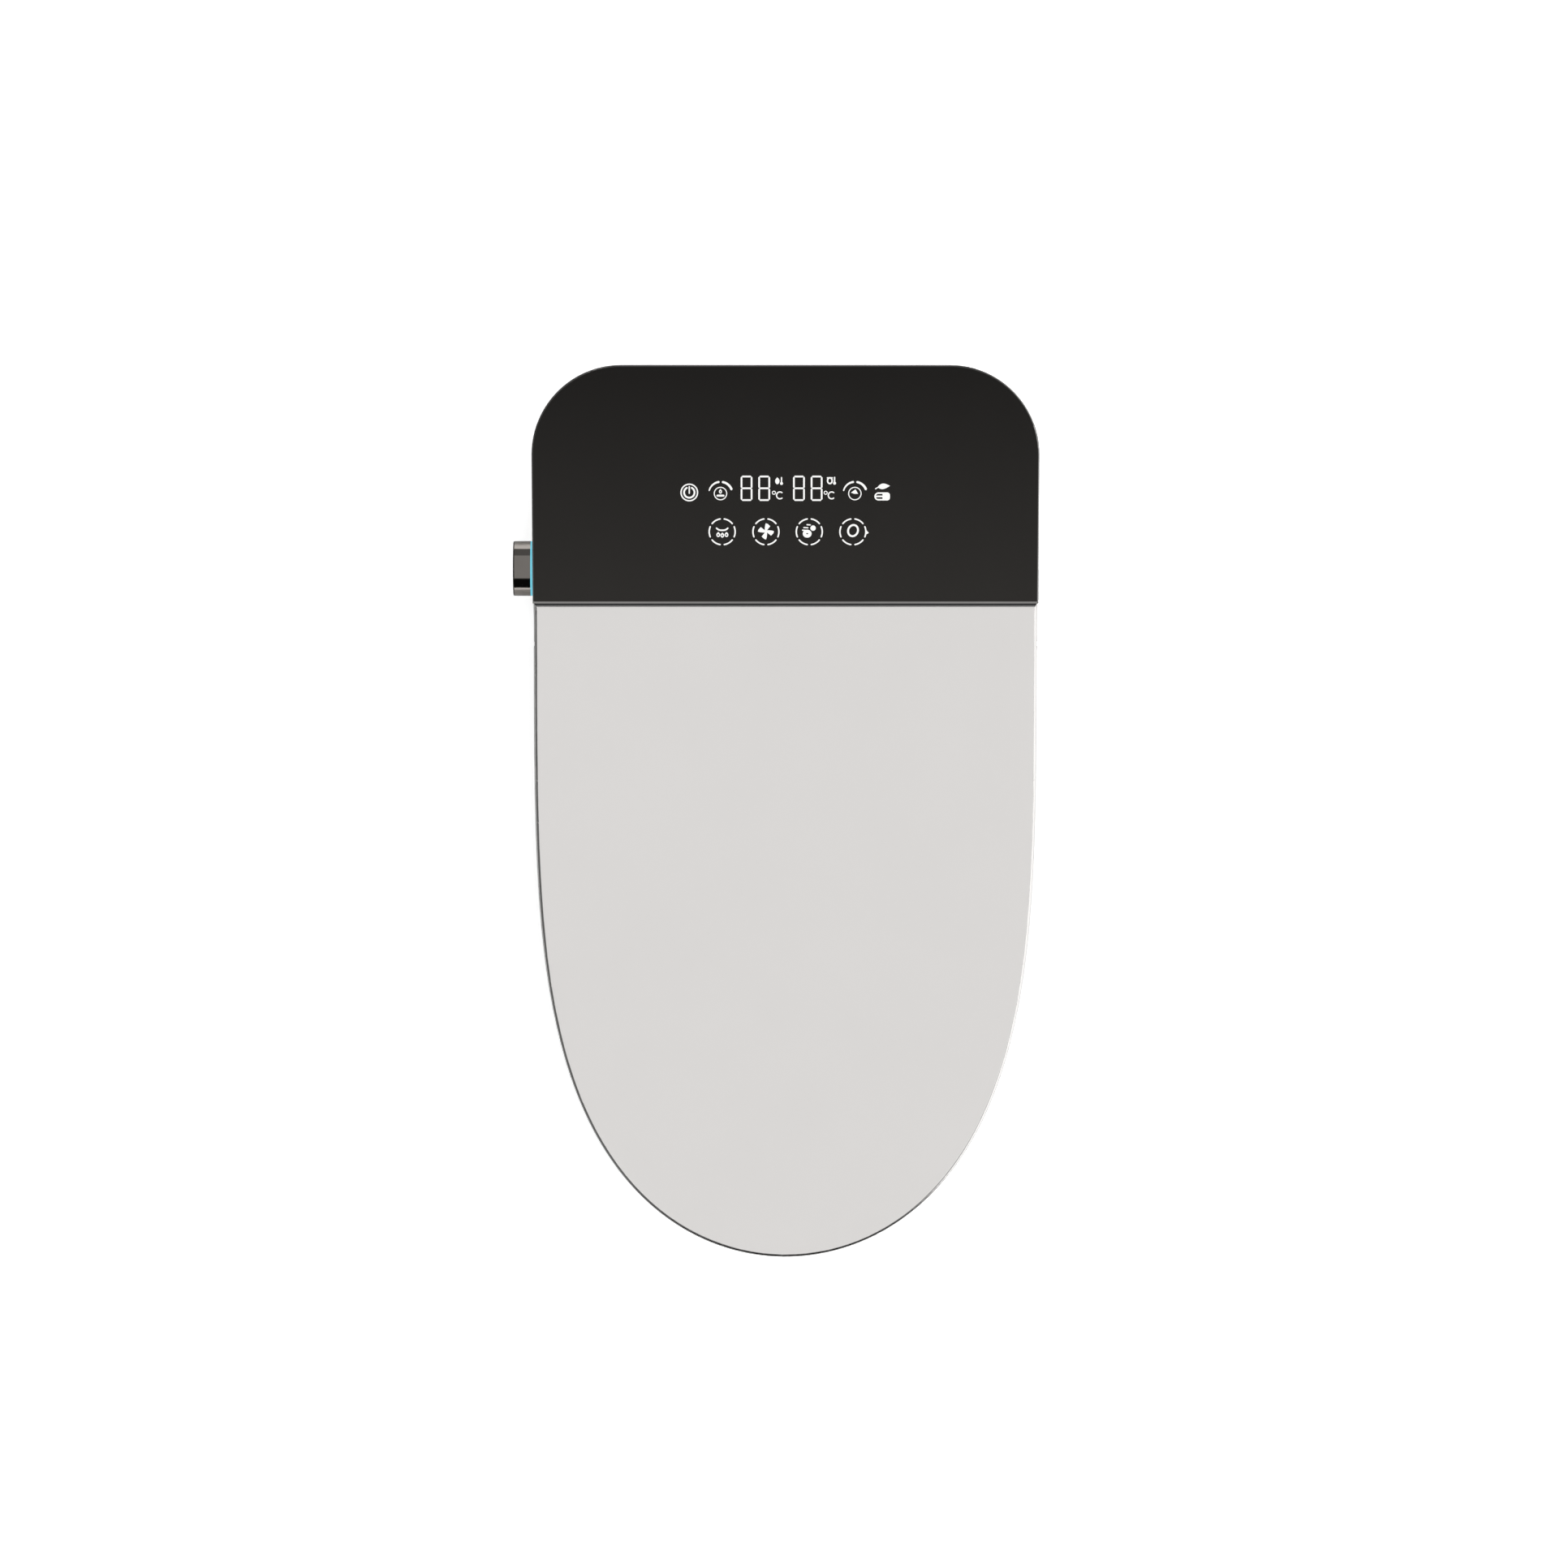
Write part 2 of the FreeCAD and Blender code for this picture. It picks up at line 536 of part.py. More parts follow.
# ---- nozzle bay, wands and their drive ----
SLOPE = radians(WAND_SLOPE)
WAND_BACK = Vector(0, cos(SLOPE), sin(SLOPE))
WAND_UP = Vector(0, -sin(SLOPE), cos(SLOPE))


def wand_place(x):
    """Carries a shape drawn with y back along the wand and z above it onto the wand at x."""
    return Placement(Vector(x, WAND_TIP_Y, WAND_TIP_Z), Rotation(X, WAND_SLOPE))


def on_wand(shape, x=0.0):
    out = shape.copy()
    out.Placement = wand_place(x).multiply(out.Placement)
    return out


def wand(side):
    barrel = take(rod(WAND_R, (0, TIP_LENGTH, 0), Y, WAND_LENGTH - TIP_LENGTH),
                  rod(WAND_R - 2.5, (0, TIP_LENGTH, 0), Y, WAND_LENGTH - TIP_LENGTH - 5))
    strip = box(5.0, 9.0, 30, 108, -3.2, RACK_PITCH_LINE - 1.1)
    strip = take(strip, rod(WAND_R - 1, (0, 0, 0), Y, 200))
    pitch = pi * MODULE
    teeth = []
    for k in range(-1, 23):
        y = PINION_U + (k + 0.5) * pitch
        low, high = RACK_PITCH_LINE - 1.1, RACK_PITCH_LINE + 0.85
        teeth.append(polygon_prism([(y - 1.0, low - 0.2), (y + 1.0, low - 0.2), (y + 0.32, high), (y - 0.32, high)],
                                   6.6, 9.0))
    shape = join(barrel, strip, *teeth)
    if side < 0:
        shape = shape.mirror(Vector(0, 0, 0), X)
    return on_wand(shape, side * WAND_X)


def wand_tip(side):
    """The wand's front end, with its spray holes and a spigot inside the tube."""
    tip = rod(WAND_R, (0, 0, 0), Y, TIP_LENGTH)
    tip = rounded(tip, 1.5, lambda e: e.BoundBox.YMax < 0.1)
    tip = join(tip, rod(WAND_R - 2.5, (0, TIP_LENGTH, 0), Y, 8))
    holes = [rod(0.8, (dx, dy, 0), Z, 10) for dx, dy in ((0, 6), (-2, 8), (2, 8), (0, 10))]
    return on_wand(take(tip, *holes), side * WAND_X)


PINION_R = MODULE * TEETH / 2
PINION_GAP = 0.15           # extra distance between rack and pinion


def pinion(side):
    centre_z = RACK_PITCH_LINE + PINION_R + PINION_GAP
    x0, x1 = 6.8, 9.0
    root = PINION_R - 1.15
    wheel = rod(root, (x0, 0, 0), X, x1 - x0)
    teeth = []
    for k in range(TEETH):
        tooth = polygon_prism([(-0.82, -root + 0.4), (0.82, -root + 0.4), (0.58, -PINION_R), (0.28, -PINION_R - 0.8),
                               (-0.28, -PINION_R - 0.8), (-0.58, -PINION_R)], x0, x1)
        tooth.rotate(Vector(0, 0, 0), X, 360.0 * k / TEETH)
        teeth.append(tooth)
    gear = join(wheel, rod(2, (x0, 0, 0), X, 12), *teeth)
    gear.translate(Vector(0, PINION_U, centre_z))
    if side < 0:
        gear = gear.mirror(Vector(0, 0, 0), X)
    return on_wand(gear, side * WAND_X)


def nozzle_motors():
    centre_z = RACK_PITCH_LINE + PINION_R + PINION_GAP
    can = rod(11, (10.2, PINION_U, centre_z), X, 12.8)
    can = join(can, box(10.2, 14, PINION_U - 3.5, PINION_U + 14, centre_z - 16.5, centre_z))
    can = take(can, rod(2 + RUN, (9, PINION_U, centre_z), X, 12))
    return group(on_wand(can, WAND_X), on_wand(can.mirror(Vector(0, 0, 0), X), -WAND_X))


def nozzle_holder():
    cradle = box(-14, 14, 8, 106, -9, 0)
    for y0 in (10, 26):
        cradle = join(cradle, box(-14, 14, y0, y0 + 5, 0, 9))
    bores = [rod(WAND_R + 0.08, (x, 0, 0), Y, 130) for x in (-WAND_X, WAND_X)]
    cradle = on_wand(take(cradle, *bores))
    low = BAY_LOW + BAY_WALL
    foot = box(-14, 14, -80, -62, low, 12.5)
    rear = box(-14, 14, -6, 4, POCKET_TOP + 3, 38)
    foot = take(foot, on_wand(box(-40, 40, -20, 130, -8.9, 40)))
    rear = take(rear, on_wand(box(-40, 40, -20, 130, -8.9, 40)))
    return join(cradle, foot, rear)


def bay_shell():
    outer = box(-BAY_HALF, BAY_HALF, BAY_FRONT, HOUSING_FRONT, BAY_LOW, BAY_HIGH)
    outer = rounded(outer, 10, lambda e: upright(e) and e.BoundBox.YMax < BAY_FRONT + 1)
    outer = rounded(outer, 4, lambda e: at_height(e, BAY_HIGH) and e.BoundBox.YMax < HOUSING_FRONT - 1)
    hollow = box(-BAY_HALF + BAY_WALL, BAY_HALF - BAY_WALL, BAY_FRONT + BAY_WALL, HOUSING_FRONT + 1,
                 BAY_LOW + BAY_WALL, BAY_HIGH - BAY_WALL)
    hollow = rounded(hollow, 7.5, lambda e: upright(e) and e.BoundBox.YMax < BAY_FRONT + BAY_WALL + 1)
    return take(outer, hollow)


FLAP_AXIS = (-90.75, 42.6)


def bay_cover():
    ports = [on_wand(rod(WAND_R + 0.6, (0, -12, 0), Y, 40), x) for x in (-WAND_X, WAND_X)]
    ports += [on_wand(box(x, x + 20.6 - WAND_X, -12, 40, -3.9, 3.6)) for x in (WAND_X, -20.6)]
    x0, x1, z0, z1 = DUCT
    outlet = box(x0, x1, BAY_FRONT - 1, BAY_FRONT + BAY_WALL + 1, z0, z1)
    pin = rod(0.85, (x0 - 2, *FLAP_AXIS), X, x1 - x0 + 4)
    x0, x1, z0, z1 = INTAKE
    slits = [box(x, x + 2.5, BAY_FRONT - 1, BAY_FRONT + BAY_WALL + 1, z0 + 1, z1 - 1) for x in
             [x0 + 2 + 5 * i for i in range(6)]]
    return take(bay_shell(), outlet, pin, *ports, *slits)


def dryer_flap():
    x0, x1, z0, z1 = DUCT
    y, z = FLAP_AXIS
    leaf = box(x0 + 0.5, x1 - 0.5, y - 0.75, y + 0.75, z0 + 0.5, z)
    return join(leaf, rod(0.8, (x0 - 1.5, y, z), X, x1 - x0 + 3), rod(0.75, (x0 + 0.5, y, z), X, x1 - x0 - 1))


# ---- warm-air dryer ----
def hollow_duct(limits, y0, y1, wall=1.5):
    x0, x1, z0, z1 = limits
    return take(box(x0, x1, y0, y1, z0, z1), box(x0 + wall, x1 - wall, y0 - 1, y1 + 1, z0 + wall, z1 - wall))


def dryer_duct():
    return hollow_duct(DUCT, BAY_FRONT + BAY_WALL, 55)


def dryer_heater():
    x0, x1, z0, z1 = DUCT
    frame = box(x0 + 1.5, x1 - 1.5, 8, 44, z0 + 1.5, z1 - 1.5)
    cells = [box(x0 + 3 + 5.6 * i, x0 + 7 + 5.6 * i, 7, 45, z0 + 3, z1 - 3) for i in range(5)]
    return take(frame, *cells)


def blower_scroll():
    x0, x1, z0, z1 = DUCT
    case = join(rod(BLOWER_R, (BLOWER_X, BLOWER_Y, BLOWER_LOW), Z, BLOWER_HIGH - BLOWER_LOW),
                box(x0, x1, 55, BLOWER_Y, BLOWER_LOW, BLOWER_HIGH))
    hollow = join(rod(BLOWER_R - 2, (BLOWER_X, BLOWER_Y, BLOWER_LOW + 2), Z, BLOWER_HIGH - BLOWER_LOW - 4),
                  box(x0 + 2, x1 - 2, 57, BLOWER_Y, BLOWER_LOW + 2, BLOWER_HIGH - 2))
    mouth = box(x0 + 1.5, x1 - 1.5, 50, 60, z0 + 1.5, z1 - 1.5)
    intake = rod(18, (BLOWER_X, BLOWER_Y, BLOWER_HIGH - 3), Z, 10)
    shaft = rod(4, (BLOWER_X, BLOWER_Y, BLOWER_LOW - 1), Z, 5)
    return take(case, hollow, mouth, intake, shaft)


def bladed_wheel(cx, cy, z0, z1, r, shaft_low):
    disc = rod(r, (cx, cy, z0), Z, 2)
    hub = rod(6, (cx, cy, z0), Z, z1 - z0)
    blades = []
    for k in range(16):
        blade = box(cx + r - 9, cx + r - 1, cy - 0.6, cy + 0.6, z0 + 1, z1)
        blade.rotate(Vector(cx, cy, 0), Z, 22.5 * k)
        blades.append(blade)
    rim = tube(r, r - 1.5, (cx, cy, z1 - 2), Z, 2)
    return join(disc, hub, rim, rod(2.5, (cx, cy, shaft_low), Z, z0 - shaft_low), *blades)


def blower_impeller():
    return bladed_wheel(BLOWER_X, BLOWER_Y, BLOWER_LOW + 4, BLOWER_HIGH - 5, 31, 12)


def blower_motor():
    can = rod(17, (BLOWER_X, BLOWER_Y, WALL), Z, BLOWER_LOW - WALL)
    return take(can, rod(2.5 + RUN, (BLOWER_X, BLOWER_Y, 11), Z, 20))


# ---- deodoriser ----
def deodoriser_duct():
    return hollow_duct(INTAKE, BAY_FRONT + BAY_WALL, FAN_Y - FAN_R - 3)


def fan_housing():
    x0, x1, y0, y1, z0, z1 = FILTER
    case = box(FAN_X - FAN_R - 3, FAN_X + FAN_R + 3, FAN_Y - FAN_R - 3, FAN_Y + FAN_R + 3, z0, z1 + 4)
    hollow = rod(FAN_R, (FAN_X, FAN_Y, z0 + 3), Z, z1 - z0 - 1)
    to_filter = box(FAN_X - FAN_R - 4, FAN_X, y0 + 10, y1 - 10, z0 + 6, z1 - 6)
    ix0, ix1, iz0, iz1 = INTAKE
    from_duct = box(ix0 + 1.5, ix1 - 1.5, FAN_Y - FAN_R - 4, FAN_Y, iz0 + 1.5, iz1 - 1.5)
    shaft = rod(2.5 + RUN, (FAN_X, FAN_Y, z0 + 1), Z, 5)
    sleeve = take(box(x1 - 0.5, FAN_X - FAN_R - 3, y0 - 2, y1 + 2, z0 - 2, z1 + 2),
                  box(x1 - 1, FAN_X - FAN_R - 5, y0 + 4, y1 - 4, z0 + 4, z1 - 4))
    case = join(case, sleeve)
    return take(case, hollow, to_filter, from_duct, shaft)


def fan_impeller():
    z0 = FILTER[4]
    return bladed_wheel(FAN_X, FAN_Y, z0 + 6, FILTER[5] - 2, FAN_R - 3, z0 + 1.2)


def filter_tray():
    x0, x1, y0, y1, z0, z1 = FILTER
    tray = take(box(x0, x1 - 1, y0, y1, z0, z1), box(x0 + 6, x1 - 4, y0 + 2, y1 - 2, z0 + 2, z1 + 1))
    grip = box(x0 - 1, x0 + 1, y0 + 14, y1 - 14, z0 + 9, z0 + 11)
    slit = box(x1 - 6, x1, y0 + 8, y1 - 8, z0 + 6, z1 - 4)
    return take(join(tray, grip), slit)


def carbon_filter():
    x0, x1, y0, y1, z0, z1 = FILTER
    return box(x0 + 6, x1 - 4, y0 + 2, y1 - 2, z0 + 2, z1 - 2)


def filter_guide():
    """The sleeve in which the filter tray slides, standing on the chassis."""
    x0, x1, y0, y1, z0, z1 = FILTER
    sleeve = take(box(x0 + 3.6, x1 - 0.5, y0 - 2.5, y1 + 2.5, z0 - 2.5, z1 + 2.5),
                  box(x0, x1, y0 - 0.4, y1 + 0.4, z0 - 0.4, z1 + 0.4))
    legs = [box(x, x + 4, y0, y1, WALL, z0 - 2.5) for x in (x0 + 12, x1 - 12)]
    return join(sleeve, *legs)


# ---- water ----
def water_inlet():
    """The threaded inlet, with the valve body above the notch for the hose's nut."""
    spigot = rod(INLET_R, (INLET_X, INLET_Y, 16), Z, 16)
    stem = rod(INLET_R - 1.4, (INLET_X, INLET_Y, 32), Z, 4)
    valve = box(INLET_X - 15, INLET_X + 15, INLET_Y - 15, INLET_Y + 12, 35, 58)
    coil = rod(10, (INLET_X, INLET_Y, 58), Z, 14)
    way = rod(5, (INLET_X, INLET_Y, 15), Z, 35)
    port = rod(2.5, (INLET_X + 10, INLET_Y, 44), X, 10)
    return take(join(spigot, stem, valve, coil), way, port)


HEATER = (-30.0, 22.0, 96.0, 176.0, 8.0, 60.0)


def water_heater():
    x0, x1, y0, y1, z0, z1 = HEATER
    tank = rounded(box(x0, x1, y0, y1, z0, z1), 5, upright)
    feet = [box(x, x + 6, y0 + 8, y1 - 8, WALL, z0) for x in (x0 + 4, x1 - 10)]
    ports = [rod(3, (x0 - 6, INLET_Y - 6, 44), X, 6), rod(3, (x0 + 14, y0 - 6, 48), Y, 6)]
    return join(tank, *feet, *ports)


def water_hoses():
    inlet = rod(2.5, (INLET_X + 15, INLET_Y, 44), X, HEATER[0] - 6 - INLET_X - 15)
    inlet = join(inlet, rod(3.2, (HEATER[0] - 9, INLET_Y - 3, 44), X, 3))
    outlet = rod(2.5, (HEATER[0] + 14, SELECTOR_Y + 12, 48), Y, HEATER[2] - 6 - SELECTOR_Y - 12)
    return group(inlet, outlet)


SELECTOR_Y = 56.0


def flow_selector():
    x = HEATER[0] + 14
    body = box(x - 14, x + 14, SELECTOR_Y - 12, SELECTOR_Y + 12, 38, 58)
    step_motor = rod(10, (x, SELECTOR_Y, 58), Z, 14)
    legs = [box(x - 14, x - 10, SELECTOR_Y - 12, SELECTOR_Y + 12, WALL, 38),
            box(x + 10, x + 14, SELECTOR_Y - 12, SELECTOR_Y + 12, WALL, 38)]
    stubs = [rod(2.2, (x + dx, SELECTOR_Y - 16, 50), Y, 4) for dx in (-7, 7)]
    return join(body, step_motor, *legs, *stubs)


def air_pump():
    body = box(-148, -112, 24, 62, WALL, 34)
    motor = rod(13, (-130, 43, 34), Z, 16)
    return join(body, motor)


# ---- electrics ----
def power_supply():
    case = box(124, 178, 62, 128, WALL, 46)
    fins = [box(126 + 7 * i, 130 + 7 * i, 64, 126, 46, 54) for i in range(7)]
    return join(case, *fins)


def main_board():
    board = box(-20, 112, 66, 170, 66, 67.6)
    legs = [rod(3, (x, y, WALL), Z, 63) for x, y in ((28, 160), (108, 160), (118, 58))]
    pads = box(104, 124, 52, 70, 66, 67.6)
    parts = [box(40, 70, 90, 120, 67.6, 72), box(0, 26, 130, 150, 67.6, 76), rod(6, (90, 140, 67.6), Z, 9),
             rod(6, (90, 122, 67.6), Z, 9), box(30, 90, 156, 166, 67.6, 74)]
    return join(board, pads, *legs, *parts)


def cable_gland():
    x, y, z = GLAND_AT
    collar = rod(GLAND_R + 3, (x, HOUSING_REAR - WALL - 4, z), Y, 4)
    neck = rod(GLAND_R, (x, HOUSING_REAR - WALL, z), Y, WALL)
    return take(join(collar, neck), rod(4, (x, y - 10, z), Y, 40))


def build():
    tray = join(chassis_tray(), *release_rib().Solids)
    return {
        "lid_outer": lid_outer(),
        "lid_inner": lid_inner(),
        "lid_bumpers": lid_bumpers(),
        "lid_hinge_pins": hinge_pins(142, 179),
        "seat_top": seat_top(),
        "seat_bottom": seat_bottom(),
        "seat_heater": seat_heater(),
        "seat_bumpers": seat_bumpers(),
        "seat_screws": seat_screws(),
        "seat_hinge_pins": hinge_pins(98, 136),
        "hinge_mounts": hinge_mounts(),
        "lid_dampers": damper_set(140, BARREL_OUT, 141.9, BARREL_OUT + 1),
        "seat_dampers": damper_set(BARREL_IN, 138, BARREL_IN - 1, 136.1),
        "rear_cover": rear_cover(),
        "chassis_tray": tray,
        "cover_screws": cover_screws(),
        "deck_pads": deck_pads(),
        "mounting_bracket": mounting_bracket(),
        "release_button": release_button(),
        "release_spring": release_spring(),
        "panel_frame": panel_frame(),
        "top_panel": top_panel(),
        "trim_strip": trim_strip(),
        "display_board": display_board(),
        "display_leds": display_leds(),
        "touch_pads": touch_pads(),
        "knob_cap": knob_cap(),
        "knob_light_ring": knob_light_ring(),
        "knob_shaft": knob_shaft(),
        "knob_encoder": knob_encoder(),
        "knob_spring": knob_spring(),
        "nozzle_bay_cover": bay_cover(),
        "nozzle_holder": nozzle_holder(),
        "rear_wand": wand(-1),
        "front_wand": wand(1),
        "rear_wand_tip": wand_tip(-1),
        "front_wand_tip": wand_tip(1),
        "rear_wand_pinion": pinion(-1),
        "front_wand_pinion": pinion(1),
        "nozzle_motors": nozzle_motors(),
        "dryer_flap": dryer_flap(),
        "dryer_duct": dryer_duct(),
        "dryer_heater": dryer_heater(),
        "blower_scroll": blower_scroll(),
        "blower_impeller": blower_impeller(),
        "blower_motor": blower_motor(),
        "deodoriser_duct": deodoriser_duct(),
        "fan_housing": fan_housing(),
        "fan_impeller": fan_impeller(),
        "filter_guide": filter_guide(),
        "filter_tray": filter_tray(),
        "carbon_filter": carbon_filter(),
        "water_inlet": water_inlet(),
        "water_heater": water_heater(),
        "water_hoses": water_hoses(),
        "flow_selector": flow_selector(),
        "air_pump": air_pump(),
        "power_supply": power_supply(),
        "main_board": main_board(),
        "cable_gland": cable_gland(),
    }


os.makedirs("parts", exist_ok=True)
for name, shape in build().items():
    shape.exportStep("parts/" + name + ".step")
    bounds = shape.BoundBox
    print(name, len(shape.Solids), shape.isValid(), round(shape.Volume / 1000, 2),
          [round(v, 1) for v in (bounds.XMin, bounds.XMax, bounds.YMin, bounds.YMax, bounds.ZMin, bounds.ZMax)])
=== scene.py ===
"""Electric bidet seat: the looks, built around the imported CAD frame.

Lengths in the "local" helpers are millimetres along the sloping top: x to the side, y to the rear
from the hinge axis, z at right angles to the panel. The rest is in metres, in the CAD's frame.
"""
import json
import math

import bmesh
import bpy
from mathutils import Matrix, Vector


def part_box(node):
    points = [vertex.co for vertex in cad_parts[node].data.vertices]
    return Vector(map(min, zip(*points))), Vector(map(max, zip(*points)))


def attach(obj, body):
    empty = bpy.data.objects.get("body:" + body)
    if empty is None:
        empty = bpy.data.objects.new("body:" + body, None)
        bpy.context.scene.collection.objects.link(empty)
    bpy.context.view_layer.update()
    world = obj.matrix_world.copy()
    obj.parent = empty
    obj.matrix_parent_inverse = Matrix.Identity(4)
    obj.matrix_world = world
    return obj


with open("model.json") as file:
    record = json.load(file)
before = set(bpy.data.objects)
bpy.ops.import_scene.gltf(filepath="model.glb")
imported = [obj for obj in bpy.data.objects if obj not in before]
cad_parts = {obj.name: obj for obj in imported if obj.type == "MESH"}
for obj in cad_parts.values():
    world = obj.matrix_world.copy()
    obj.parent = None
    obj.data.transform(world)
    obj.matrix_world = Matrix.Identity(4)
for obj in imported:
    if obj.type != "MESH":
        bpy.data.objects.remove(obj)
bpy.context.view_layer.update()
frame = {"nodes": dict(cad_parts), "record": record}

MM = 0.001
SLOPE_DEG = 3.0
HINGE = Vector((0, -7.0, 84.0))
LOCAL = (Matrix.Scale(MM, 4) @ Matrix.Translation(HINGE)
         @ Matrix.Rotation(math.radians(SLOPE_DEG), 4, "X"))
TOP = 13.0                      # local height of the lid's and the panel's top face
PANEL_FRONT = 17.7              # local y of the panel's front edge


# ---- node helpers ----
def new_material(name):
    material = bpy.data.materials.new(name)
    material.use_nodes = True
    nodes = material.node_tree.nodes
    return material, nodes, material.node_tree.links, nodes["Principled BSDF"]


def set_inputs(shader, **values):
    for key, value in values.items():
        shader.inputs[key.replace("_", " ")].default_value = value


def coordinates(nodes, links, scale=(1, 1, 1)):
    """Object coordinates, in metres, stretched by scale."""
    place = nodes.new("ShaderNodeTexCoord")
    mapping = nodes.new("ShaderNodeMapping")
    mapping.inputs["Scale"].default_value = scale
    links.new(place.outputs["Object"], mapping.inputs["Vector"])
    return mapping.outputs["Vector"]


def noise(nodes, links, vector, scale, detail=3.0, rough=0.5):
    node = nodes.new("ShaderNodeTexNoise")
    set_inputs(node, Scale=scale, Detail=detail, Roughness=rough)
    links.new(vector, node.inputs["Vector"])
    return node.outputs["Fac"]


def ramp(nodes, links, value, stops):
    """A colour ramp through (place, colour) stops."""
    node = nodes.new("ShaderNodeValToRGB")
    elements = node.color_ramp.elements
    while len(elements) < len(stops):
        elements.new(0.5)
    for element, (at, colour) in zip(elements, stops):
        element.position = at
        element.color = (*colour, 1) if len(colour) == 3 else (colour[0], colour[0], colour[0], 1)
    links.new(value, node.inputs["Fac"])
    return node.outputs["Color"]


def bump(nodes, links, shader, height, strength, distance):
    node = nodes.new("ShaderNodeBump")
    set_inputs(node, Strength=strength, Distance=distance)
    links.new(height, node.inputs["Height"])
    links.new(node.outputs["Normal"], shader.inputs["Normal"])


def axes_of(nodes, links, output):
    """The X, Y and Z parts of one of the texture coordinate node's outputs."""
    place = nodes.new("ShaderNodeTexCoord")
    split = nodes.new("ShaderNodeSeparateXYZ")
    links.new(place.outputs[output], split.inputs["Vector"])
    return split.outputs


def span(nodes, links, value, low, high):
    """value stretched so that low gives 0 and high gives 1."""
    node = nodes.new("ShaderNodeMapRange")
    set_inputs(node, From_Min=low, From_Max=high)
    links.new(value, node.inputs["Value"])
    return node.outputs["Result"]


def blend(nodes, links, factor, first, second):
    """Mixes two colours, each given as a node's output or as plain numbers."""
    node = nodes.new("ShaderNodeMix")
    node.data_type = "RGBA"
    links.new(factor, node.inputs["Factor"])
    for key, colour in (("A", first), ("B", second)):
        if isinstance(colour, tuple):
            node.inputs[key].default_value = (*colour, 1)
        else:
            links.new(colour, node.inputs[key])
    return node.outputs["Result"]


def band(nodes, links, value, start, full, fall, end):
    """1 from full to fall, and falling away to 0 at start and at end."""
    stops = [(start, (0.0,)), (full, (1.0,)), (fall, (1.0,)), (end, (0.0,))]
    return ramp(nodes, links, value, stops)


def uneven(nodes, links, value, low, high):
    """A noise's value turned into colours between low and high."""
    return ramp(nodes, links, value, [(0.3, low), (0.7, high)])


def shade(colour, factor):
    return tuple(min(1.0, c * factor) for c in colour)


# ---- materials ----
def moulded(name, colour, rough=0.4, grain=900.0, depth=0.00002, coat=0.0, mottle=0.03):
    """Moulded plastic: faint broad mottling, a fine grain and slightly uneven gloss."""
    material, nodes, links, shader = new_material(name)
    where = coordinates(nodes, links)
    broad = noise(nodes, links, where, 14.0, 4.0, 0.6)
    fine = noise(nodes, links, where, grain, 2.0, 0.5)
    colours = uneven(nodes, links, broad, shade(colour, 1 - mottle), shade(colour, 1 + mottle))
    links.new(colours, shader.inputs["Base Color"])
    gloss = uneven(nodes, links, fine, (rough * 0.9,), (rough * 1.1,))
    links.new(gloss, shader.inputs["Roughness"])
    set_inputs(shader, Coat_Weight=coat, Coat_Roughness=0.08, IOR=1.46)
    bump(nodes, links, shader, fine, 0.25, depth)
    return material


def metal(name, colour, rough, stretch=(1, 1, 1), grain=300.0, contrast=0.25, depth=0.00001):
    """Metal with a brushed or lightly marked finish; stretch sets the brushing direction."""
    material, nodes, links, shader = new_material(name)
    where = coordinates(nodes, links, stretch)
    lines = noise(nodes, links, where, grain, 3.0, 0.6)
    patches = noise(nodes, links, coordinates(nodes, links), 30.0, 3.0, 0.5)
    colours = uneven(nodes, links, patches, shade(colour, 0.94), shade(colour, 1.04))
    links.new(colours, shader.inputs["Base Color"])
    dull, shiny = rough * (1 + contrast), rough * (1 - contrast)
    gloss = ramp(nodes, links, lines, [(0.25, (shiny,)), (0.75, (dull,))])
    links.new(gloss, shader.inputs["Roughness"])
    set_inputs(shader, Metallic=1.0)
    bump(nodes, links, shader, lines, 0.2, depth)
    return material


# near-black colour of the knob's painted dark reflection band
KNOB_PAINTED_REFLECTION = (0.07, 0.068, 0.065)


def painted_reflection_dark_edge(material):
    """Paints a dark reflection on a turned metal part of axis X: its colour is darkened where its
    side rolls over to its outer end face, as a painted dark reflection band.
    """
    nodes, links = material.node_tree.nodes, material.node_tree.links
    colour = nodes["Principled BSDF"].inputs["Base Color"]
    outward = span(nodes, links, axes_of(nodes, links, "Normal")["X"], 0.0, -1.0)
    # painted dark reflection: the band where the side rolls over to the end face
    edge = band(nodes, links, outward, 0.12, 0.24, 0.90, 0.97)
    bright = colour.links[0].from_socket
    links.new(blend(nodes, links, edge, bright, KNOB_PAINTED_REFLECTION), colour)
    return material


# painted reflection: the glass's colour runs from lighter near the seat to darker at the rear,
# standing in for the room's reflection
PANEL_NEAR_PAINTED_REFLECTION = (0.0125, 0.0112, 0.0098)
PANEL_FAR_PAINTED_REFLECTION = (0.0035, 0.0028, 0.0022)


def panel_glass():
    """Dark warm glass with a painted reflection: its colour is painted a little lighter towards the
    seat, with faint wipe marks in its gloss.
    """
    material, nodes, links, shader = new_material("panel_glass")
    front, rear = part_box("top_panel")[0].y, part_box("top_panel")[1].y
    place = span(nodes, links, axes_of(nodes, links, "Object")["Y"], front, rear)
    # painted reflection gradient from the front to the rear
    colours = ramp(nodes, links, place, [(0.0, PANEL_NEAR_PAINTED_REFLECTION), (1.0, PANEL_FAR_PAINTED_REFLECTION)])
    links.new(colours, shader.inputs["Base Color"])
    wipes = noise(nodes, links, coordinates(nodes, links, (1, 0.25, 1)), 22.0, 4.0, 0.65)
    gloss = uneven(nodes, links, wipes, (0.30,), (0.36,))
    links.new(gloss, shader.inputs["Roughness"])
    set_inputs(shader, Specular_IOR_Level=0.35, Coat_Weight=0.25, Coat_Roughness=0.12)
    return material


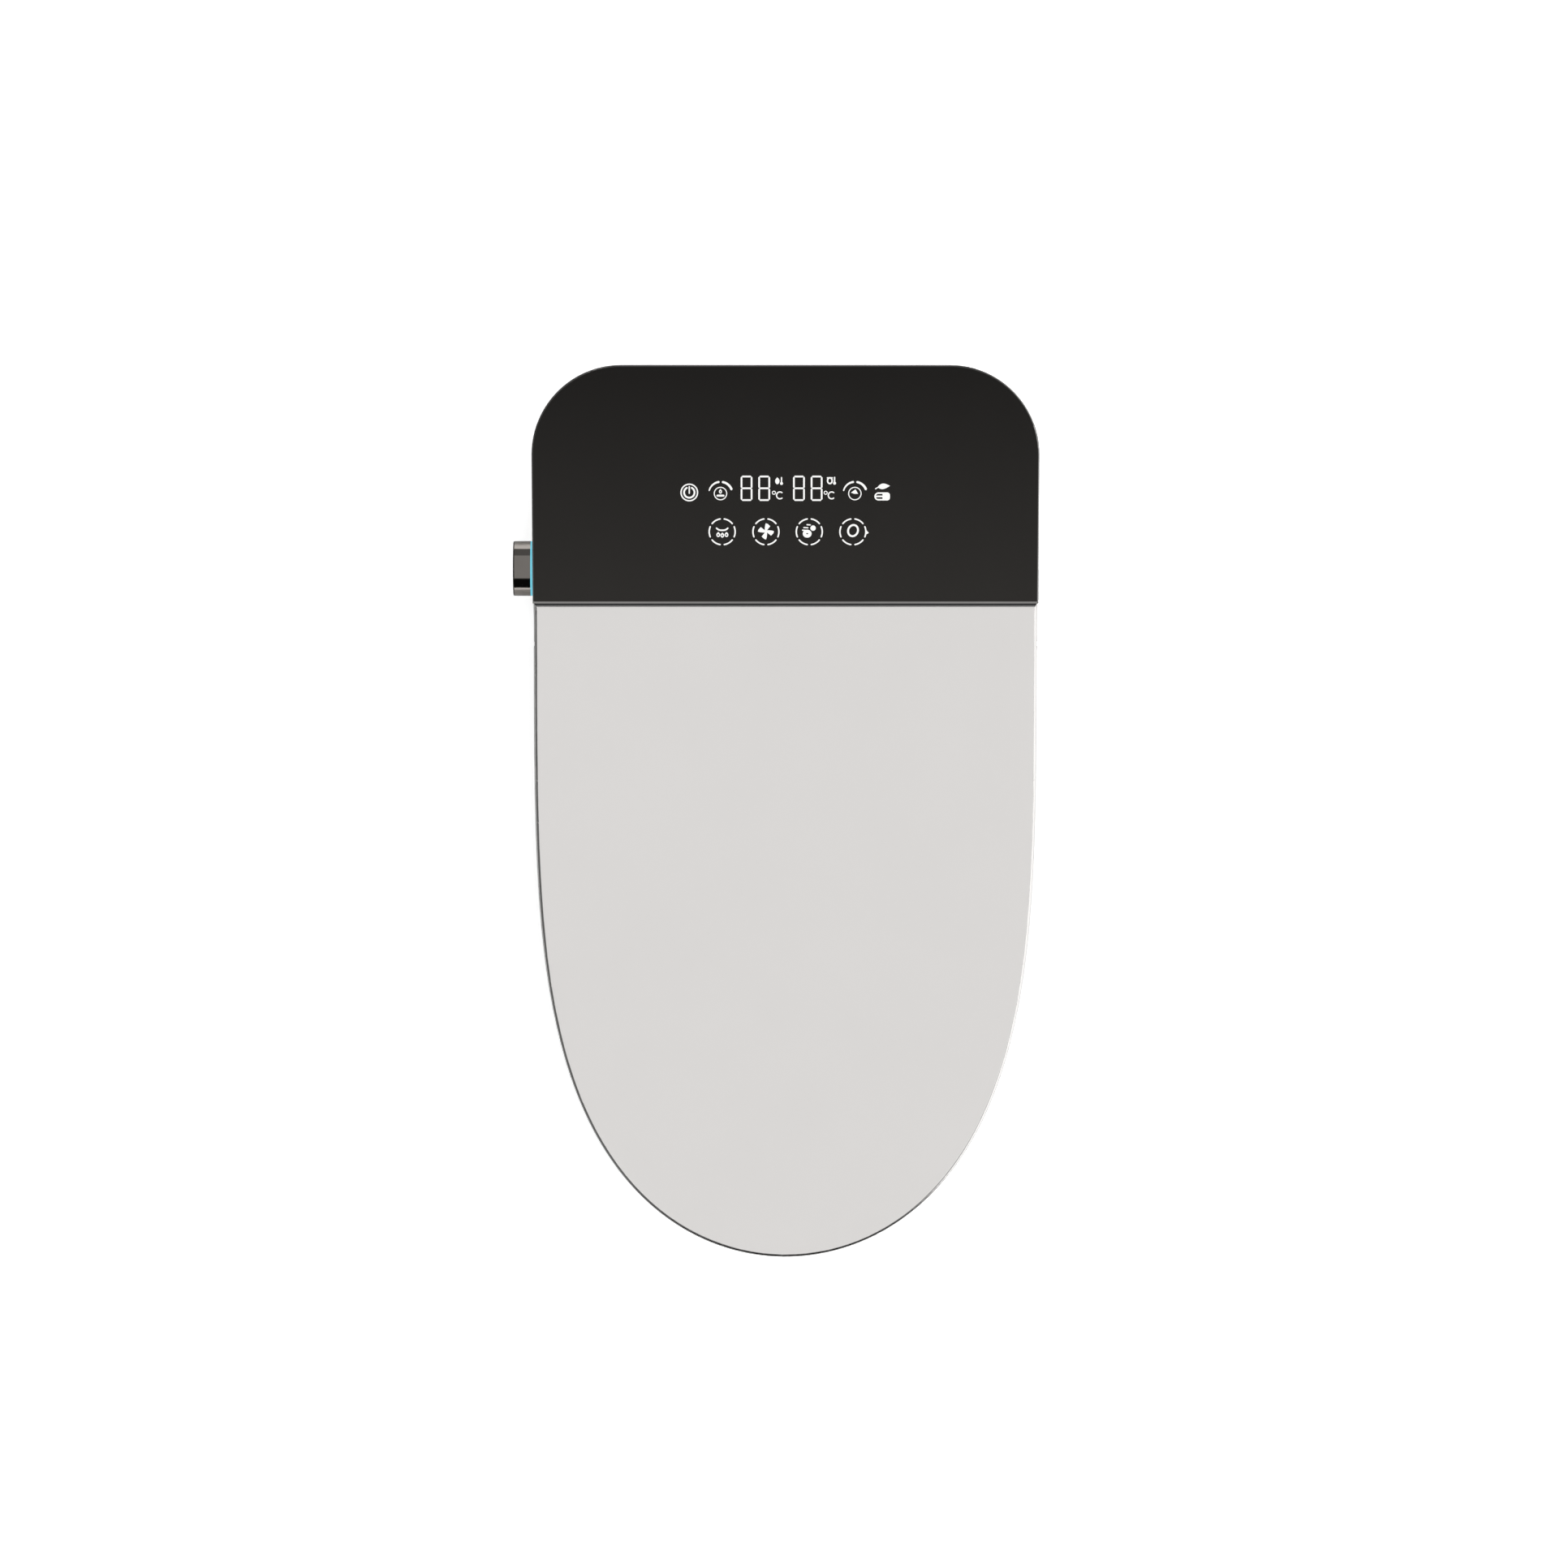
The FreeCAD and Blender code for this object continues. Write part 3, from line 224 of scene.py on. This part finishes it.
def glowing(name, colour, strength, base):
    """A lit mark or light guide, with a slightly uneven glow."""
    material, nodes, links, shader = new_material(name)
    glow = noise(nodes, links, coordinates(nodes, links), 400.0, 2.0, 0.5)
    colours = uneven(nodes, links, glow, shade(colour, 0.96), shade(colour, 1.0))
    links.new(colours, shader.inputs["Emission Color"])
    set_inputs(shader, Emission_Strength=strength, Base_Color=(*base, 1), Roughness=0.35)
    return material


def circuit_board():
    """Green lacquer with paler tracks."""
    material, nodes, links, shader = new_material("circuit_board")
    bricks = nodes.new("ShaderNodeTexBrick")
    set_inputs(bricks, Scale=90.0, Mortar_Size=0.02, Color1=(0.02, 0.12, 0.06, 1),
               Color2=(0.025, 0.14, 0.07, 1), Mortar=(0.10, 0.28, 0.14, 1))
    links.new(coordinates(nodes, links), bricks.inputs["Vector"])
    links.new(bricks.outputs["Color"], shader.inputs["Base Color"])
    set_inputs(shader, Roughness=0.35)
    bump(nodes, links, shader, bricks.outputs["Fac"], 0.3, 0.00003)
    return material


LID_GREY = (0.532, 0.519, 0.508)
BEVEL = (0.66, 0.652, 0.64)


def lid_finish():
    """Satin grey, with a polished bevel where the surface turns over at its edges."""
    material, nodes, links, shader = new_material("lid_finish")
    where = coordinates(nodes, links)
    broad = noise(nodes, links, where, 14.0, 4.0, 0.6)
    fine = noise(nodes, links, where, 900.0, 2.0, 0.5)
    face = uneven(nodes, links, broad, shade(LID_GREY, 0.993), shade(LID_GREY, 1.007))
    upward = axes_of(nodes, links, "Normal")["Z"]
    edge = band(nodes, links, upward, 0.10, 0.16, 0.955, 0.985)
    links.new(blend(nodes, links, edge, face, BEVEL), shader.inputs["Base Color"])
    links.new(edge, shader.inputs["Metallic"])
    gloss = nodes.new("ShaderNodeMapRange")
    set_inputs(gloss, To_Min=0.42, To_Max=0.12)
    links.new(edge, gloss.inputs["Value"])
    links.new(gloss.outputs["Result"], shader.inputs["Roughness"])
    bump(nodes, links, shader, fine, 0.2, 0.00002)
    return material


SIDE_BLEND = 0.15               # half the width over which the paper's two sides run together


def floor_material(name, glow, left, right):
    """Pale, matte studio paper that may glow, with one brightness on the left and one on the right;
    a darker left is painted shade.
    """
    material, nodes, links, shader = new_material(name)
    broad = noise(nodes, links, coordinates(nodes, links), 1.5, 2.0, 0.5)
    even = uneven(nodes, links, broad, (right - 0.01,), (right + 0.01,))
    # the paper's left and right brightness run together here; a darker left side is painted shade
    across = span(nodes, links, axes_of(nodes, links, "Object")["X"], -SIDE_BLEND, SIDE_BLEND)
    links.new(blend(nodes, links, across, (left, left, left), even), shader.inputs["Base Color"])
    set_inputs(shader, Roughness=0.95, Specular_IOR_Level=0.0, Emission_Color=(1, 1, 1, 1),
               Emission_Strength=glow)
    return material


MATERIALS = {
    "lid_grey": lid_finish(),
    "white_shell": moulded("white_shell", (0.60, 0.595, 0.58), rough=0.22, coat=0.3, mottle=0.01),
    "seat_white": moulded("seat_white", (0.56, 0.555, 0.54), rough=0.20, coat=0.4, mottle=0.01),
    "dark_glass": panel_glass(),
    "black_plastic": moulded("black_plastic", (0.012, 0.012, 0.012), rough=0.45),
    "light_ring": glowing("light_ring", (0.17, 0.62, 0.78), 0.9, (0.03, 0.06, 0.07)),
    "grey_plastic": moulded("grey_plastic", (0.12, 0.125, 0.13), rough=0.5),
    "white_plastic": moulded("white_plastic", (0.60, 0.60, 0.59), rough=0.45, mottle=0.015),
    "rubber": moulded("rubber", (0.03, 0.03, 0.032), rough=0.8, grain=1500.0, depth=0.00005,
                      mottle=0.12),
    "soft_white_rubber": moulded("soft_white_rubber", (0.62, 0.62, 0.61), rough=0.7, grain=1500.0),
    "steel": metal("steel", (0.55, 0.55, 0.56), 0.32, (1, 12, 1), 500.0),
    "stainless": metal("stainless", (0.66, 0.66, 0.66), 0.18, (1, 1, 12), 600.0),
    "aluminium": metal("aluminium", (0.68, 0.69, 0.70), 0.38, (1, 10, 1), 400.0),
    "brass": metal("brass", (0.72, 0.52, 0.24), 0.25, (1, 1, 10), 500.0),
    "acetal": moulded("acetal", (0.66, 0.65, 0.60), rough=0.35),
    "board_green": circuit_board(),
    "led_white": glowing("led_white", (1.0, 1.0, 0.985), 0.93, (0.05, 0.05, 0.05)),
    "copper": metal("copper", (0.80, 0.42, 0.26), 0.3, (1, 8, 1), 400.0),
    "carbon": moulded("carbon", (0.015, 0.015, 0.015), rough=0.9, grain=350.0, depth=0.0004,
                      mottle=0.3),
    "knob_metal": painted_reflection_dark_edge(metal("knob_metal", (0.66, 0.61, 0.565), 0.07, (8, 1, 1), 900.0)),
    "trim_metal": metal("trim_metal", (0.90, 0.88, 0.85), 0.12, (8, 1, 1), 900.0),
    "rim_metal": metal("rim_metal", (0.27, 0.265, 0.26), 0.14, (1, 1, 1), 600.0),
    "mica": moulded("mica", (0.42, 0.32, 0.2), rough=0.6, mottle=0.15),
}


# nodes with a finish of their own instead of their slot's
FINISHES = {"trim_strip": "trim_metal", "panel_frame": "rim_metal", "knob_cap": "knob_metal"}


def dress_nodes():
    slots = {row["node"]: row["material_slot"] for row in frame["record"]["subparts"]}
    for name, node in frame["nodes"].items():
        node.data.materials.clear()
        node.data.materials.append(MATERIALS[FINISHES.get(name, slots[name])])


# ---- mesh helpers ----
def make_piece(name, shape, body, slot):
    """Turns a bmesh into a flat-shaded piece that rides on a body."""
    bmesh.ops.recalc_face_normals(shape, faces=shape.faces)
    mesh = bpy.data.meshes.new(name)
    shape.to_mesh(mesh)
    shape.free()
    piece = bpy.data.objects.new(name, mesh)
    bpy.context.scene.collection.objects.link(piece)
    mesh.materials.append(MATERIALS[slot])
    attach(piece, body)


def circle_points(cx, cy, rx, ry=None, count=40, turn=0.0):
    ry = rx if ry is None else ry
    c, s = math.cos(math.radians(turn)), math.sin(math.radians(turn))
    points = []
    for i in range(count):
        angle = 2 * math.pi * i / count
        x, y = rx * math.cos(angle), ry * math.sin(angle)
        points.append((cx + x * c - y * s, cy + x * s + y * c))
    return points


class Ink:
    """Printed or lit marks on the panel: thin flat shapes in local millimetres."""

    low, high = TOP + 0.02, TOP + 0.10

    def __init__(self):
        self.mesh = bmesh.new()

    def vertex(self, x, y, z):
        return self.mesh.verts.new(LOCAL @ Vector((x, y, z)))

    def strip(self, inner, outer, closed=False):
        """A ribbon between two rows of points."""
        rows = []
        for z in (self.low, self.high):
            rows.append([[self.vertex(x, y, z) for x, y in row] for row in (inner, outer)])
        (low_in, low_out), (top_in, top_out) = rows
        count = len(inner)
        for i in range(count if closed else count - 1):
            j = (i + 1) % count
            self.mesh.faces.new((top_in[i], top_out[i], top_out[j], top_in[j]))
            self.mesh.faces.new((low_in[i], low_in[j], low_out[j], low_out[i]))
            self.mesh.faces.new((low_out[i], low_out[j], top_out[j], top_out[i]))
            self.mesh.faces.new((low_in[j], low_in[i], top_in[i], top_in[j]))
        if not closed:
            self.mesh.faces.new((low_in[0], low_out[0], top_out[0], top_in[0]))
            self.mesh.faces.new((low_out[-1], low_in[-1], top_in[-1], top_out[-1]))

    def plate(self, outline):
        low = [self.vertex(x, y, self.low) for x, y in outline]
        top = [self.vertex(x, y, self.high) for x, y in outline]
        self.mesh.faces.new(top)
        self.mesh.faces.new(list(reversed(low)))
        for i in range(len(outline)):
            j = (i + 1) % len(outline)
            self.mesh.faces.new((low[i], low[j], top[j], top[i]))

    def arc(self, cx, cy, r, start, end, width, end_width=None, steps=24):
        """A round stroke; its ends are rounded and its width may change along it."""
        end_width = width if end_width is None else end_width
        inner, outer = [], []
        for i in range(steps + 1):
            share = i / steps
            angle = math.radians(start + (end - start) * share)
            half = (width + (end_width - width) * share) / 2
            edge = min(share, 1 - share) * abs(end - start) * math.pi / 180 * r
            if edge < half:
                half *= math.sqrt(max(0.05, 1 - (1 - edge / half) ** 2))
            c, s = math.cos(angle), math.sin(angle)
            inner.append((cx + (r - half) * c, cy + (r - half) * s))
            outer.append((cx + (r + half) * c, cy + (r + half) * s))
        self.strip(inner, outer)

    def ring(self, cx, cy, rx, width, ry=None, turn=0.0, count=56):
        ry = rx if ry is None else ry
        half = width / 2
        inner = circle_points(cx, cy, rx - half, ry - half, count, turn)
        outer = circle_points(cx, cy, rx + half, ry + half, count, turn)
        self.strip(inner, outer, closed=True)

    def bar(self, x0, y0, x1, y1, width, ends=10):
        """A straight stroke with round ends."""
        angle, half = math.atan2(y1 - y0, x1 - x0), width / 2
        outline = []
        for cx, cy, side in ((x1, y1, -1), (x0, y0, 1)):
            for i in range(ends + 1):
                a = angle + math.pi * (side * 0.5 + i / ends)
                outline.append((cx + half * math.cos(a), cy + half * math.sin(a)))
        self.plate(outline)

    def curve(self, points, width):
        """A smooth stroke through a few points, of even width."""
        inner, outer = [], []
        steps = 12 * (len(points) - 1)
        spots = [through(points, i / steps) for i in range(steps + 1)]
        for i, (x, y) in enumerate(spots):
            (ax, ay), (bx, by) = spots[max(0, i - 1)], spots[min(steps, i + 1)]
            length = math.hypot(bx - ax, by - ay)
            nx, ny = -(by - ay) / length, (bx - ax) / length
            along = min(i, steps - i) / steps * 12
            half = width / 2 * min(1.0, 0.45 + along * 0.55)
            inner.append((x + nx * half, y + ny * half))
            outer.append((x - nx * half, y - ny * half))
        self.strip(outer, inner)

    def drop(self, cx, cy, width, height, hole=0.0):
        """A water drop with its point up; a hole leaves only its outline."""
        def outline(scale, count=28):
            points = []
            for i in range(count):
                a = 2 * math.pi * i / count
                pull = max(0.0, math.sin(a)) ** 3
                x = width / 2 * math.cos(a) * (1 - 0.72 * pull)
                y = height / 2 * (math.sin(a) * (1 + 0.1 * pull))
                points.append((cx + x * scale, cy + y * scale - (1 - scale) * height * 0.08))
            return points
        if hole:
            self.strip(outline(hole), outline(1.0), closed=True)
        else:
            self.plate(outline(1.0))

    def finish(self, name):
        make_piece(name, self.mesh, "chassis", "led_white")


def through(points, share):
    """A point on the smooth curve through the given points."""
    last = len(points) - 1
    i = min(int(share * last), last - 1)
    t = share * last - i
    p0, p1, p2, p3 = points[max(0, i - 1)], points[i], points[i + 1], points[min(last, i + 2)]
    return tuple(0.5 * (2 * b + (c - a) * t + (2 * a - 5 * b + 4 * c - d) * t * t
                        + (3 * b - a - 3 * c + d) * t ** 3) for a, b, c, d in zip(p0, p1, p2, p3))


# ---- the panel's symbols ----
DIGITS_Y = PANEL_FRONT + 88.05
DIALS_Y = PANEL_FRONT + 84.05
KEYS_Y = PANEL_FRONT + 54.85
CELSIUS_Y = PANEL_FRONT + 82.65
LEAF_X, LEAF_Y, LEAF_LENGTH, LEAF_HALF = 73.9, PANEL_FRONT + 89.65, 9.4, 2.3
SWITCH_X, SWITCH_Y = 74.0, PANEL_FRONT + 81.85
SWITCH_HALF_W, SWITCH_HALF_H, SWITCH_CORNER = 5.7, 3.1, 2.2
POWER_X, WATER_DIAL_X, NOZZLE_DIAL_X = -73.5, -49.7, 52.9
DIGIT_X = (-29.8, -16.3, 10.2, 23.7)
DIGIT_HALF_W, DIGIT_HALF_H, DIGIT_STROKE = 3.85, 9.0, 1.3
KEY_X = {"wash": -48.4, "dry": -15.0, "spray": 18.1, "ring": 51.4}
KEY_R, KEY_STROKE = 9.9, 1.1


def power_symbol():
    ink = Ink()
    x, y = POWER_X, DIALS_Y + 0.8
    ink.ring(x, y, 6.3, 1.0)
    ink.arc(x, y, 4.0, 108, 432, 1.35, steps=60)
    ink.bar(x, y + 4.4, x, y - 0.6, 1.0)
    ink.finish("symbol_power")


def segment(ink, x0, y0, x1, y1):
    """One bar of a digit, with pointed ends."""
    half = DIGIT_STROKE / 2
    angle = math.atan2(y1 - y0, x1 - x0)
    c, s = math.cos(angle), math.sin(angle)
    length = math.hypot(x1 - x0, y1 - y0)
    corners = [(0, 0), (half, half), (length - half, half),
               (length, 0), (length - half, -half), (half, -half)]
    ink.plate([(x0 + u * c - v * s, y0 + u * s + v * c) for u, v in corners])


def digit(number, cx):
    ink = Ink()
    w, h, gap = DIGIT_HALF_W, DIGIT_HALF_H, 0.12
    for level in (-1, 0, 1):
        y = DIGITS_Y + level * h
        segment(ink, cx - w + gap, y, cx + w - gap, y)
    for side in (-1, 1):
        for low, high in ((-h + gap, -gap), (gap, h - gap)):
            segment(ink, cx + side * w, DIGITS_Y + low, cx + side * w, DIGITS_Y + high)
    ink.finish(f"digit_{number}")


def celsius(name, x):
    ink = Ink()
    ink.ring(x - 4.3, CELSIUS_Y + 2.0, 1.2, 0.65, count=28)
    ink.arc(x + 0.3, CELSIUS_Y, 2.6, 42, 318, 0.95, steps=40)
    ink.finish(name)


def thermometer(ink, x, y):
    ink.bar(x, y + 2.5, x, y - 1.0, 1.0)
    ink.plate(circle_points(x, y - 1.9, 1.15, count=24))


def water_temperature_symbol():
    ink = Ink()
    y = PANEL_FRONT + 93.65
    ink.drop(-6.3, y, 3.3, 5.0)
    thermometer(ink, -3.1, y)
    ink.finish("symbol_water_temperature")


def seat_temperature_symbol():
    ink = Ink()
    y = PANEL_FRONT + 93.85
    ink.ring(33.8, y, 1.75, 1.15, ry=2.2, count=32)
    ink.bar(31.9, y + 2.2, 35.7, y + 2.2, 0.9)
    thermometer(ink, 37.4, y)
    ink.finish("symbol_seat_temperature")


def dial(x):
    """A level gauge: two thick arcs over a small circle."""
    ink = Ink()
    ink.arc(x, DIALS_Y, 8.9, 168, 94, 0.95, 1.6)
    ink.arc(x + 0.1, DIALS_Y, 8.9, 84, 17, 1.6, 1.8)
    ink.ring(x, DIALS_Y, 4.75, 0.75)
    return ink


def water_level_symbol():
    ink, x, y = dial(WATER_DIAL_X), WATER_DIAL_X, DIALS_Y
    ink.drop(x, y + 1.6, 2.3, 3.4, hole=0.35)
    ink.bar(x - 2.3, y - 1.6, x + 2.3, y - 1.6, 1.5)
    ink.finish("symbol_water_level")


def nozzle_place_symbol():
    ink, x, y = dial(NOZZLE_DIAL_X), NOZZLE_DIAL_X, DIALS_Y
    ink.plate([(x - 0.6, y - 0.2), (x + 2.5, y - 0.2), (x + 0.5, y + 3.2), (x - 3.0, y + 0.7)])
    ink.finish("symbol_nozzle_place")


def leaf_symbol():
    ink, x, y, steps = Ink(), LEAF_X, LEAF_Y, 14
    ink.curve([(x - 5.6, y - 2.2), (x - 3.2, y - 0.9), (x - 0.2, y + 0.1)], 0.8)
    upper, lower = [], []
    for i in range(steps + 1):
        t = i / steps
        along, middle = x - 3.6 + LEAF_LENGTH * t, y - 0.65 + 0.9 * t
        swell = math.sin(math.pi * t ** 0.8) * LEAF_HALF
        upper.append((along, middle + swell))
        lower.append((along, middle - swell * 0.85))
    ink.strip(lower, upper)
    ink.finish("symbol_leaf")


def saver_switch_symbol():
    """A rounded switch, filled on its right half and open on its left."""
    ink, x, y = Ink(), SWITCH_X, SWITCH_Y
    wide, high = SWITCH_HALF_W - SWITCH_CORNER, SWITCH_HALF_H - SWITCH_CORNER
    right = [(x, y - SWITCH_HALF_H), (x, y + SWITCH_HALF_H)]
    for cy, start in ((high, 0), (-high, 270)):
        for i in range(9):
            a = math.radians(start + 90 * i / 8)
            right.append((x + wide + SWITCH_CORNER * math.cos(a),
                          y + cy + SWITCH_CORNER * math.sin(a)))
    ink.plate(sorted_round(right, x + SWITCH_HALF_W / 2, y))
    for level in (-1, 0, 1):
        left = x - SWITCH_HALF_W + (0.85 if level == 0 else 2.1)
        bar_y = y + level * (SWITCH_HALF_H - 0.6)
        ink.bar(left, bar_y, x + 0.2, bar_y, 1.2)
    ink.arc(x - SWITCH_HALF_W + SWITCH_HALF_H - 0.5, y, SWITCH_HALF_H - 0.55, 105, 255, 1.1)
    ink.finish("symbol_saver_switch")


def sorted_round(points, cx, cy):
    return sorted(points, key=lambda p: math.atan2(p[1] - cy, p[0] - cx))


def key_circle(ink, x):
    """The six arcs round a touch key."""
    for start, end in ((-26, 26), (36, 84), (96, 144), (154, 206), (216, 264), (276, 324)):
        ink.arc(x, KEYS_Y, KEY_R, start, end, KEY_STROKE)


def wash_key():
    ink, x, y = Ink(), KEY_X["wash"], KEYS_Y
    key_circle(ink, x)
    smile = [(-4.7, 3.1), (-2.6, 1.5), (0, 1.15), (2.6, 1.5), (4.7, 3.1)]
    ink.curve([(x + dx, y + dy) for dx, dy in smile], 1.2)
    for dx, dy in ((-3.0, -2.2), (0.1, -2.6), (3.3, -2.2)):
        ink.drop(x + dx, y + dy, 2.9, 3.7, hole=0.38)
    ink.finish("key_wash")


def dry_key():
    ink, x, y = Ink(), KEY_X["dry"], KEYS_Y + 0.3
    key_circle(ink, x)
    blade = [(0.9, 0.9), (2.2, 2.6), (3.3, 3.9), (1.4, 5.7),
             (-0.1, 6.2), (-0.6, 4.6), (-0.9, 2.0), (-0.7, 0.2)]
    for turn in range(4):
        a = math.radians(90 * turn)
        c, s = math.cos(a), math.sin(a)
        ink.plate([(x + u * c - v * s, y + u * s + v * c) for u, v in blade])
    ink.plate(circle_points(x, y, 1.2, count=20))
    ink.finish("key_dry")


def spray_key():
    ink, x, y = Ink(), KEY_X["spray"], KEYS_Y
    key_circle(ink, x)
    for x0, x1, level in ((-1.7, 0.7, 5.4), (-4.1, -1.1, 3.2), (-5.1, -2.4, 1.2)):
        ink.bar(x + x0, y + level, x + x1, y + level - 0.15, 0.95)
    ink.ring(x - 1.6, y - 1.45, 2.1, 2.6, ry=1.75, count=36)
    ink.plate(circle_points(x + 2.9, y + 2.8, 2.05, count=28))
    ink.finish("key_spray")


def ring_key():
    ink, x, y = Ink(), KEY_X["ring"], KEYS_Y
    key_circle(ink, x)
    ink.ring(x + 0.1, y + 0.9, 3.7, 1.45, ry=4.35, turn=-22)
    ink.plate([(x + KEY_R - 0.1, y - 2.3), (x + KEY_R + 2.3, y - 0.8), (x + KEY_R + 0.2, y + 1.3)])
    ink.finish("key_ring")


def panel_symbols():
    power_symbol()
    water_level_symbol()
    for number, x in enumerate(DIGIT_X):
        digit(number + 1, x)
    water_temperature_symbol()
    celsius("celsius_water", -4.6)
    seat_temperature_symbol()
    celsius("celsius_seat", 34.9)
    nozzle_place_symbol()
    leaf_symbol()
    saver_switch_symbol()
    wash_key()
    dry_key()
    spray_key()
    ring_key()


# ---- the seam between the lid and the panel ----
def gap_shade_lip():
    """A thin black lip in the trough's front edge, clear of the lid's round rear end, put there as
    a dark strip that stands in for the shade in the seam.
    """
    inner, outer, half = 21.12, 21.9, 191.3
    from_deg, to_deg, steps = 16.0, 36.0, 12
    turns = [math.radians(from_deg + (to_deg - from_deg) * i / steps) for i in range(steps + 1)]
    mesh = bmesh.new()
    rows = []
    for x in (-half, half):
        for r in (inner, outer):
            points = [LOCAL @ Vector((x, r * math.cos(a), r * math.sin(a))) for a in turns]
            rows.append([mesh.verts.new(point) for point in points])
    left_in, left_out, right_in, right_out = rows
    for i in range(steps):
        mesh.faces.new((left_in[i], right_in[i], right_in[i + 1], left_in[i + 1]))
        mesh.faces.new((left_out[i], left_out[i + 1], right_out[i + 1], right_out[i]))
        mesh.faces.new((left_in[i], left_in[i + 1], left_out[i + 1], left_out[i]))
        mesh.faces.new((right_in[i], right_out[i], right_out[i + 1], right_in[i + 1]))
    for end in (0, steps):
        mesh.faces.new((left_in[end], left_out[end], right_out[end], right_in[end]))
    make_piece("gap_shade_lip", mesh, "chassis", "rubber")


# ---- stage, light and camera ----
VIEW_WIDTH = 1.198              # width of the view at the height of the panel
VIEW_CENTRE = Vector((-0.0012, -0.1278, 0.095))
LENS, SENSOR = 250.0, 36.0
FLOOR_GLOW, PAPER = 0.6, 0.94
# painted shade: the paper seen in reflections is darker than the seen paper, and darker still on
# the left
MIRRORED_PAINTED_SHADE = (0.50, 0.86)         # the mirrored paper's brightness on the left and on the right
FLOOR_SIZE = 40.0
CEILING, SIDES = 0.24, 0.16     # the world's brightness overhead and either side of the middle
FRONT_WALL, REAR_WALL, LEFT_WALL, RIGHT_WALL = 0.004, CEILING * 0.4, 0.10, 1.0


def make_floor():
    """Three sheets of paper: one is seen, one is mirrored by the object and one lights it."""
    # the mirrored sheet carries painted shade, darker than the seen paper and darkest on the left
    for name, z, glow, left, right in (("floor", -0.0003, FLOOR_GLOW, PAPER, PAPER),
                                       ("floor_mirrored", -0.0008, 0.0, *MIRRORED_PAINTED_SHADE),
                                       ("floor_bounce", -0.001, 0.0, PAPER, PAPER)):
        bpy.ops.mesh.primitive_plane_add(size=FLOOR_SIZE, location=(0, 0, z))
        floor = bpy.context.object
        floor.name = name
        floor.data.materials.append(floor_material(name, glow, left, right))
        floor.visible_camera = name == "floor"
        floor.visible_diffuse = floor.visible_shadow = name == "floor_bounce"
        floor.visible_glossy = name == "floor_mirrored"


def sun(name, direction, strength, spread_deg):
    """A broad, even light from a direction; polished surfaces don't mirror it."""
    data = bpy.data.lights.new(name, "SUN")
    data.energy, data.angle = strength, math.radians(spread_deg)
    light = bpy.data.objects.new(name, data)
    light.rotation_euler = Vector(direction).to_track_quat("Z", "Y").to_euler()
    light.visible_glossy = False
    bpy.context.scene.collection.objects.link(light)


def world_ramp(nodes, links, axis, stops):
    """Brightness through (place, value) stops; a place is a direction's part along the axis."""
    place = span(nodes, links, axis, -1.0, 1.0)
    return ramp(nodes, links, place, [((at + 1) / 2, (value,)) for at, value in stops])


def make_world():
    """A plain studio: grey ceiling, dark front, dim rear and left, bright wall on the right."""
    world = bpy.data.worlds.new("studio")
    world.use_nodes = True
    nodes, links = world.node_tree.nodes, world.node_tree.links
    axes = axes_of(nodes, links, "Generated")
    along = world_ramp(nodes, links, axes["Y"], [
        (-0.72, FRONT_WALL), (-0.66, CEILING), (0.80, CEILING), (0.84, REAR_WALL)])
    across = world_ramp(nodes, links, axes["X"], [
        (-0.62, LEFT_WALL), (-0.45, SIDES), (0.42, SIDES), (0.60, RIGHT_WALL)])
    product = nodes.new("ShaderNodeMix")
    product.data_type, product.blend_type = "RGBA", "MULTIPLY"
    product.inputs["Factor"].default_value = 1.0
    links.new(along, product.inputs["A"])
    links.new(across, product.inputs["B"])
    links.new(product.outputs["Result"], nodes["Background"].inputs["Color"])
    nodes["Background"].inputs["Strength"].default_value = 1 / SIDES
    bpy.context.scene.world = world


def make_lights():
    make_world()
    sun("top", (0.15, -0.1, 1.0), strength=1.9, spread_deg=80)
    sun("key_right", (1.0, -0.25, 0.9), strength=1.35, spread_deg=50)


def make_camera():
    data = bpy.data.cameras.new("camera")
    data.lens, data.sensor_width = LENS, SENSOR
    data.clip_end = 100.0
    camera = bpy.data.objects.new("camera", data)
    distance = VIEW_WIDTH * LENS / SENSOR
    camera.location = VIEW_CENTRE + Vector((0, 0, distance))
    bpy.context.scene.collection.objects.link(camera)
    bpy.context.scene.camera = camera


def make_scene():
    dress_nodes()
    panel_symbols()
    gap_shade_lip()
    make_floor()
    make_lights()
    make_camera()
    bpy.context.scene.view_settings.view_transform = "Standard"


make_scene()
